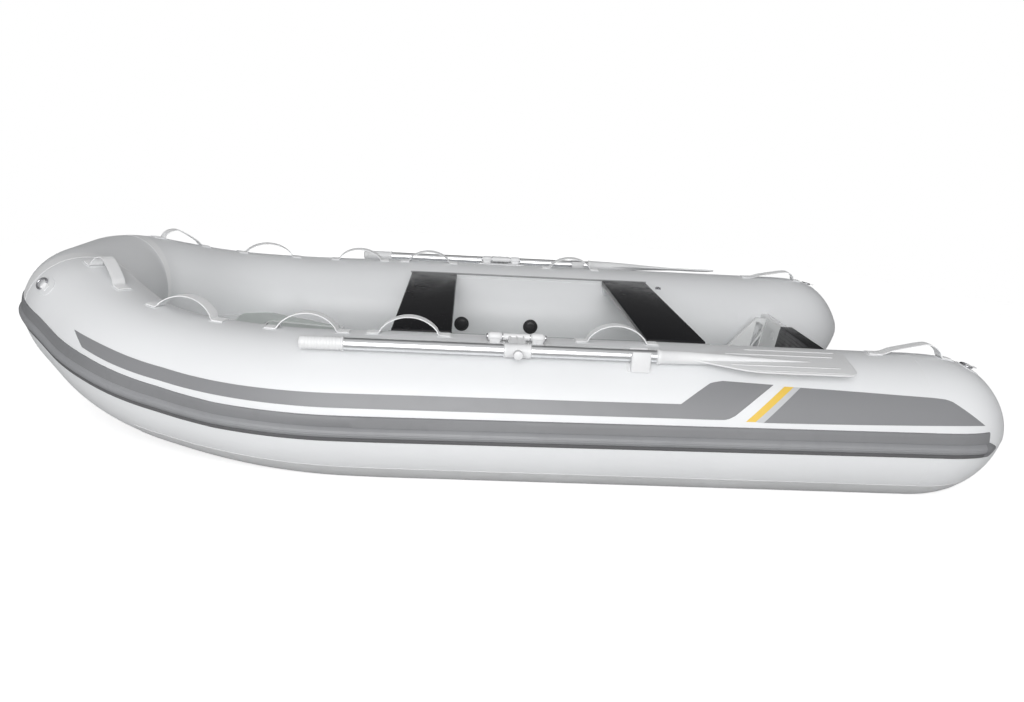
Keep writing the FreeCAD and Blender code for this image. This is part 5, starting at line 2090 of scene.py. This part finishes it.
@dataclass
class Oars:
    """The oars with their collars, the rowlocks they turn in and the clips."""

    skin: TubeSkin
    y: float = field(init=False)
    z: float = field(init=False)
    pin: Vector = field(init=False)

    RADIUS = 0.0175
    TILT = math.radians(12.0)
    ROWLOCK_X = -0.050
    COLLAR = 0.0220
    PIN = 0.008
    FLARE = 0.180
    PIN_ANGLE = math.radians(79.5)
    PIN_LIFT = 0.021
    PIN_HALF, PIN_END = 0.090, 0.0070
    COLLAR_HALF = 0.040
    GRIP_RIBS = 11
    NECK = 0.110
    BLADE_HALF, BLADE_CORNER, BLADE_THICK = 0.075, 0.035, 0.0052
    RIBS = ((0.034, 0.045, 0.0014, 0.42), (0.064, 0.030, 0.0010, 0.05))
    KNOB = (
        (0.010, 0.0080), (0.026, 0.0080), (0.028, 0.0090), (0.034, 0.0118), (0.040, 0.0138),
        (0.050, 0.0140), (0.054, 0.0124), (0.056, 0.0080))
    LOBE_END = ((0.0, 0.0060), (0.0012, 0.0090), (0.004, 0.0118), (0.008, 0.0134), (0.013, 0.0138))
    FINS = 5
    ROWLOCK_PATCH = (77.0, 0.215, 0.098, 0.22, 0.0035)
    CLIP_PATCH = (61.3, 0.078, 0.078, 0.25, 0.0025)
    CLIP_WALL = 0.005

    def __post_init__(self) -> None:
        """Takes the shaft's and the pin's places from the model."""
        low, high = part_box("oar_shaft_port")
        self.y, self.z = (low.y + high.y) / 2, (low.z + high.z) / 2
        angle, reach = self.PIN_ANGLE, self.skin.radius + self.PIN_LIFT
        self.pin = Vector((
            self.ROWLOCK_X, self.skin.spread + reach * math.cos(angle),
            self.skin.height + reach * math.sin(angle)))

    def rod(self, name: str, profile: Rows, sides: int = 48) -> Piece:
        """A turned piece on the oar's centre line, its profile given as (x, radius)."""
        piece = turned(name, profile, sides)
        stand(piece, Vector((0.0, self.y, self.z)), FORWARD, UP)
        smooth(piece, SHARP)
        return piece

    def build(self) -> None:
        """Builds the oars, collars, rowlocks and clips."""
        low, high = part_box("oar_shaft_port")
        shaft = self.rod("shaft_tube", ((low.x, self.RADIUS), (high.x, self.RADIUS)))
        fit_pair(shaft, [SHAFT], ["oar_shaft"], "oar")
        self.build_grip()
        fit_pair(self.blade(), [PLASTIC], ["oar_blade"], "oar")
        fit_pair(self.collar(), [PLASTIC], ["oar_collar"], "oar")
        fit_pair(self.rowlock(), [PLASTIC], ["rowlock_base"])
        half, end = self.PIN_HALF, self.PIN_HALF - 0.0015
        pin = turned(
            "pin", ((-half, self.PIN_END), (-end, self.PIN), (end, self.PIN), (half, self.PIN_END)), 24)
        stand(pin, self.pin, FORWARD)
        smooth(pin, CREASE)
        fit_pair(pin, [STEEL])
        fit_pair(self.clip(), [PLASTIC], ["oar_clip"])

    def build_grip(self) -> None:
        """The ribbed grip with a flange next to the shaft."""
        low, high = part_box("oar_grip_port")
        start, end = low.x, high.x + 0.009
        profile = [
            (start - 0.002, 0.0188), (start, 0.0212), (start + 0.005, 0.0212), (start + 0.0065, 0.0186)]
        ribs = self.GRIP_RIBS
        first, last = start + 0.012, end - 0.020
        for number in range(ribs):
            left, right = mix(first, last, number / ribs), mix(first, last, (number + 1) / ribs)
            profile += [
                (left, 0.0188), (mix(left, right, 0.2), 0.0195), (mix(left, right, 0.8), 0.0195)]
        profile += [
            (last, 0.0188), (last + 0.002, 0.0200), (end - 0.008, 0.0198), (end - 0.003, 0.0180),
            (end, 0.0130)]
        fit_pair(self.rod("grip_sleeve", profile, 40), [PLASTIC], ["oar_grip"], "oar")

    def blade(self) -> Piece:
        """The socket, spine, ribs and flat of the blade.

        Returns:
            The closed blade.
        """
        low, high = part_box("oar_blade_port")
        tip, front = low.x, high.x
        neck = front - self.NECK
        wide = neck - self.FLARE
        half, corner, face = self.BLADE_HALF, self.BLADE_CORNER, self.BLADE_THICK / 2
        edge = [
            (neck + 0.010, 0.016), (neck - 0.02, 0.024), (mix(neck, wide, 0.45), 0.046),
            (mix(neck, wide, 0.8), 0.068), (wide - 0.02, half), (tip + corner + 0.03, half)]
        side = rounded_off(edge, 2)
        arc = []
        for degrees in range(0, 91, 15):
            turn = math.radians(degrees)
            reach = half - corner + corner * math.cos(turn)
            arc.append((tip + corner - corner * math.sin(turn), reach))
        outline = [(p.x, p.y) for p in side] + arc
        plan = outline + [(x, -y) for x, y in reversed(outline)]
        flat = plate("blade_flat", [(x, y, -face) for x, y in plan], (0.0, 0.0, self.BLADE_THICK))
        ease(flat, 0.0018, 3, 50.0)
        lip = []
        for face_side in (-1, 1):
            for at, far, thick, share in self.RIBS:
                for hand in (-1, 1):
                    rib = block(
                        f"blade_rib_{face_side}_{at}_{hand}", (tip + far, hand * at - 0.0025, 0.0),
                        (mix(wide, neck, share), hand * at + 0.0025, face + thick))
                    rib.data.transform(Matrix.Diagonal((1.0, 1.0, face_side, 1.0)))
                    if face_side < 0:
                        rib.data.flip_normals()
                    ease(rib, 0.0013, 2)
                    lip.append(rib)
        profile = (
            (wide - 0.175, 0.0030), (wide - 0.10, 0.0062), (wide, 0.0105),
            (mix(wide, neck, 0.5), 0.0155), (neck, 0.0190), (neck + 0.012, 0.0198),
            (front - 0.016, 0.0208), (front - 0.014, 0.0222), (front - 0.004, 0.0222),
            (front - 0.002, 0.0212), (front, 0.0182))
        socket = turned("blade_socket", profile)
        stand(socket, ORIGIN, FORWARD, UP)
        blade = join("blade_paddle", [flat, socket] + lip)
        blade.data.transform(
            Matrix.Translation((0.0, self.y, self.z)) @ Matrix.Rotation(-self.TILT, 4, "X"))
        smooth(blade, SHARP)
        return blade

    def collar(self) -> Piece:
        """The moulded collar round the shaft, its arm to the pin and its knob.

        Returns:
            The closed collar.
        """
        x0, x1 = self.ROWLOCK_X - self.COLLAR_HALF, self.ROWLOCK_X + self.COLLAR_HALF
        reach = Vector((0.0, self.y - self.pin.y, self.z - self.pin.z))
        profile = (
            (x0, 0.0195), (x0 + 0.002, self.COLLAR), (x0 + 0.012, self.COLLAR), (x0 + 0.014, 0.0207),
            (x1 - 0.014, 0.0207), (x1 - 0.012, self.COLLAR), (x1 - 0.002, self.COLLAR), (x1, 0.0195))
        ring = turned("collar_ring", profile, 48)
        stand(ring, Vector((0.0, self.y, self.z)), FORWARD, UP)
        foot = Vector((0.0, self.pin.y, self.pin.z))
        barrel = turned(
            "collar_barrel", ((x0, 0.0098), (x0 + 0.0012, 0.0110), (x1 - 0.0012, 0.0110), (x1, 0.0098)),
            32)
        stand(barrel, foot, FORWARD, UP)
        arm = eased(
            "collar_arm", (0.0, -0.0050, x0 + 0.014), (reach.length, 0.0050, x1 - 0.014), 0.002, 2)
        stand(arm, foot, FORWARD, reach)
        webs = []
        for share in (0.25, 0.5, 0.75):
            at = mix(x0, x1, share)
            web = eased(
                f"collar_web_{share}", (0.006, -0.0085, at - 0.002),
                (reach.length - 0.019, 0.0085, at + 0.002), 0.0012, 2)
            stand(web, foot, FORWARD, reach)
            webs.append(web)
        knob = turned("collar_knob", self.KNOB, 36)
        stand(knob, Vector((self.ROWLOCK_X, self.y, self.z)), OUTBOARD)
        collar = join("collar_clamp", [ring, barrel, arm, knob] + webs)
        smooth(collar, SHARP)
        return collar

    def rowlock(self) -> Piece:
        """The base welded to the tube, with a lobe each side of the collar.

        Returns:
            The closed base.
        """
        pieces = []
        x, y, z = self.pin
        for side in (-1, 1):
            near, far = sorted((x + side * 0.0415, x + side * 0.0865))
            profile = [(near + ahead, radius) for ahead, radius in self.LOBE_END]
            profile += [(far - ahead, radius) for ahead, radius in reversed(self.LOBE_END)]
            lobe = turned(f"lobe_{side}", profile, 40)
            stand(lobe, Vector((0.0, y, z)), FORWARD, UP)
            cheek = eased(
                f"cheek_{side}", (near + 0.006, y - 0.0122, z - 0.040),
                (far - 0.006, y + 0.0122, z - 0.004), 0.003, 3)
            foot = eased(
                f"foot_{side}", (near - 0.002, y - 0.018, z - 0.060),
                (far + 0.002, y + 0.038, z - 0.0165), 0.006, 4)
            pieces += [lobe, cheek, foot]
        web = eased(
            "rowlock_web", (x - 0.050, y - 0.017, z - 0.060), (x + 0.050, y + 0.009, z - 0.0175), 0.002,
            2)
        pieces.append(web)
        for number in range(self.FINS):
            at = mix(x - 0.036, x + 0.036, number / (self.FINS - 1))
            fin = eased(
                f"rowlock_fin_{number}", (at - 0.002, y - 0.0168, z - 0.040),
                (at + 0.002, y + 0.010, z - 0.0140), 0.001, 2)
            pieces.append(fin)
        along = self.skin.along_of(x)
        pieces.append(self.skin.patch("rowlock_flange", along, *self.ROWLOCK_PATCH))
        base = join("rowlock_body", pieces)
        smooth(base, SHARP)
        return base

    def clip(self) -> Piece:
        """The clip that holds the shaft down aft.

        Returns:
            The closed clip.
        """
        low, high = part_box("oar_clip_port")
        outer = self.RADIUS + self.CLIP_WALL
        body = eased(
            "clip_body", (low.x, self.y - outer - 0.005, self.z - 0.045),
            (high.x, self.y + outer + 0.005, self.z + 0.0175), 0.0035, 3)
        room = block(
            "clip_room", (low.x - CLEAR, self.y - outer, self.z),
            (high.x + CLEAR, self.y + outer, self.z + 0.05))
        cut(body, room)
        bore = self.RADIUS + 0.0015
        seat = turned("clip_seat", ((low.x - CLEAR, bore), (high.x + CLEAR, bore)), 48)
        stand(seat, Vector((0.0, self.y, self.z)), FORWARD, UP)
        cut(body, seat)
        along = self.skin.along_of((low.x + high.x) / 2)
        flange = self.skin.patch("clip_flange", along, *self.CLIP_PATCH)
        clip = join("clip_saddle", [body, flange])
        smooth(clip, SHARP)
        return clip


# ---- stage


@dataclass
class Stage:
    """The floor at the waterline, the light and the camera."""

    AT = Vector((0.1115, 3.0716, 1.0854))
    RIGHT = Vector((-0.99732, 0.04668, 0.05642))
    ABOVE = Vector((0.04137, -0.27648, 0.96013))
    AHEAD = Vector((-0.06042, -0.95989, -0.27381))
    LENS = 29.146
    SENSOR = 36.0
    FLOOR_RADIUS = 14.0
    FLOOR = {
        "Base Color": (0.90, 0.90, 0.90, 1.0), "Roughness": 0.9, "Specular IOR Level": 0.1,
        "Emission Color": (1.0, 1.0, 1.0, 1.0), "Emission Strength": 0.6}
    FLOOR_DIM = (0.52, 0.52, 0.52, 1.0)
    FADE = (2.2, 4.6)
    AIM = Vector((0.0, 0.0, 0.2))
    LIGHTS = (
        ("key", (0.6, 6.5, 2.4), 5.0, 322.0), ("top", (0.0, 1.5, 5.5), 4.0, 12.0),
        ("back", (0.5, -6.5, 1.3), 4.0, 190.0))
    SKY_STRENGTH = 0.62
    SKY_BLUE = 1.01
    SKY_SIDES = (-0.6, 0.8)
    SKY_TONES = (
        ((0.0, 0.42), (0.44, 0.08), (0.76, 0.05), (0.88, 0.34), (1.0, 0.46)),
        ((0.0, 0.55), (0.5, 0.75), (0.7, 0.95), (1.0, 0.60)))

    def build(self) -> None:
        """Sets up the stage."""
        clear()
        bpy.ops.mesh.primitive_circle_add(vertices=96, radius=self.FLOOR_RADIUS, fill_type="NGON")
        floor = named("floor")
        floor.data.materials.append(self.floor_material())
        for name, at, size, power in self.LIGHTS:
            clear()
            bpy.ops.object.light_add(type="AREA", location=at)
            light = bpy.context.active_object
            light.name = light.data.name = name
            light.data.shape = "DISK"
            light.data.size = size
            light.data.energy = power
            light.visible_glossy = name != "back"
            light.rotation_euler = (self.AIM - Vector(at)).to_track_quat("-Z", "Y").to_euler()
        clear()
        bpy.ops.object.camera_add()
        camera = bpy.context.active_object
        camera.name = "camera"
        camera.data.lens = self.LENS
        camera.data.sensor_width = self.SENSOR
        camera.data.dof.use_dof = False
        turn = Matrix((self.RIGHT, self.ABOVE, -self.AHEAD)).transposed().to_4x4()
        turn.translation = self.AT
        camera.matrix_world = turn
        bpy.context.scene.camera = camera
        self.world()
        bpy.context.scene.view_settings.view_transform = "Standard"

    def floor_material(self) -> bpy.types.Material:
        """A pale floor that fades into the backdrop far out.

        Returns:
            The material.
        """
        material = bpy.data.materials.new("Pale floor")
        material.use_nodes = True
        net = Net(material.node_tree)
        shader = net.tree.nodes["Principled BSDF"]
        for name, value in self.FLOOR.items():
            shader.inputs[name].default_value = value
        length = net.add("ShaderNodeVectorMath", operation="LENGTH")
        net.join(net.object_place(), length.inputs[0])
        fade = net.ramp(length.outputs["Value"], *self.FADE)
        dim = net.add("ShaderNodeBsdfDiffuse")
        dim.inputs["Color"].default_value = self.FLOOR_DIM
        path = net.add("ShaderNodeLightPath")
        seen = net.choose(path.outputs["Is Camera Ray"], dim, shader)
        blend = net.choose(fade, seen, net.add("ShaderNodeBsdfTransparent"))
        net.join(blend.outputs[0], net.tree.nodes["Material Output"].inputs["Surface"])
        return material

    def world(self) -> None:
        """A white backdrop to the camera and a softer sky for the light."""
        world = bpy.data.worlds.new("Studio")
        bpy.context.scene.world = world
        world.use_nodes = True
        net = Net(world.node_tree)
        sky = net.tree.nodes["Background"]
        source = net.add("ShaderNodeTexCoord")
        split = net.add("ShaderNodeSeparateXYZ")
        net.join(source.outputs["Generated"], split.inputs[0])
        rise = net.sum("MULTIPLY_ADD", split.outputs["Z"], 0.5, 0.5)
        side = net.ramp(split.outputs["Y"], *self.SKY_SIDES)
        tones = []
        for front in self.SKY_TONES:
            ramp = net.add("ShaderNodeValToRGB")
            net.join(rise, ramp.inputs[0])
            stops = ramp.color_ramp.elements
            for (spot, tone), stop in zip(
                front, [stops[0], stops[1]] + [stops.new(0.5) for _ in front[2:]]):
                stop.position = spot
                stop.color = (tone, tone, tone * self.SKY_BLUE, 1.0)
            tones.append(ramp.outputs[0])
        net.join(net.blend(side, *tones), sky.inputs["Color"])
        sky.inputs["Strength"].default_value = self.SKY_STRENGTH
        white = net.add("ShaderNodeBackground")
        white.inputs["Color"].default_value = (1.0, 1.0, 1.0, 1.0)
        path = net.add("ShaderNodeLightPath")
        blend = net.choose(path.outputs["Is Camera Ray"], sky, white)
        net.join(blend.outputs[0], net.tree.nodes["World Output"].inputs["Surface"])


def finish_nodes() -> None:
    """Gives every node of the model the finish of its slot."""
    slots = {row["node"]: row["material_slot"] for row in frame["record"]["subparts"]}
    for name, node in frame["nodes"].items():
        node.data.materials.clear()
        node.data.materials.append(SLOT_FINISH[slots[name]].material())


def main() -> None:
    """Builds the tender on its frame."""
    logging.basicConfig(level=logging.INFO, format="%(name)s: %(message)s")
    build_groups()
    finish_nodes()
    skin = TubeSkin()
    tubes = Tubes(skin)
    tubes.build()
    Stripes(skin).build()
    Strake(skin, tubes.seam).build()
    Handles(skin).build()
    Fittings(skin).build()
    hull = Hull(skin)
    hull.build()
    Locker(skin, hull).build()
    Seats(skin).build()
    Oars(skin).build()
    Stage().build()


if __name__ == "__main__":
    main()
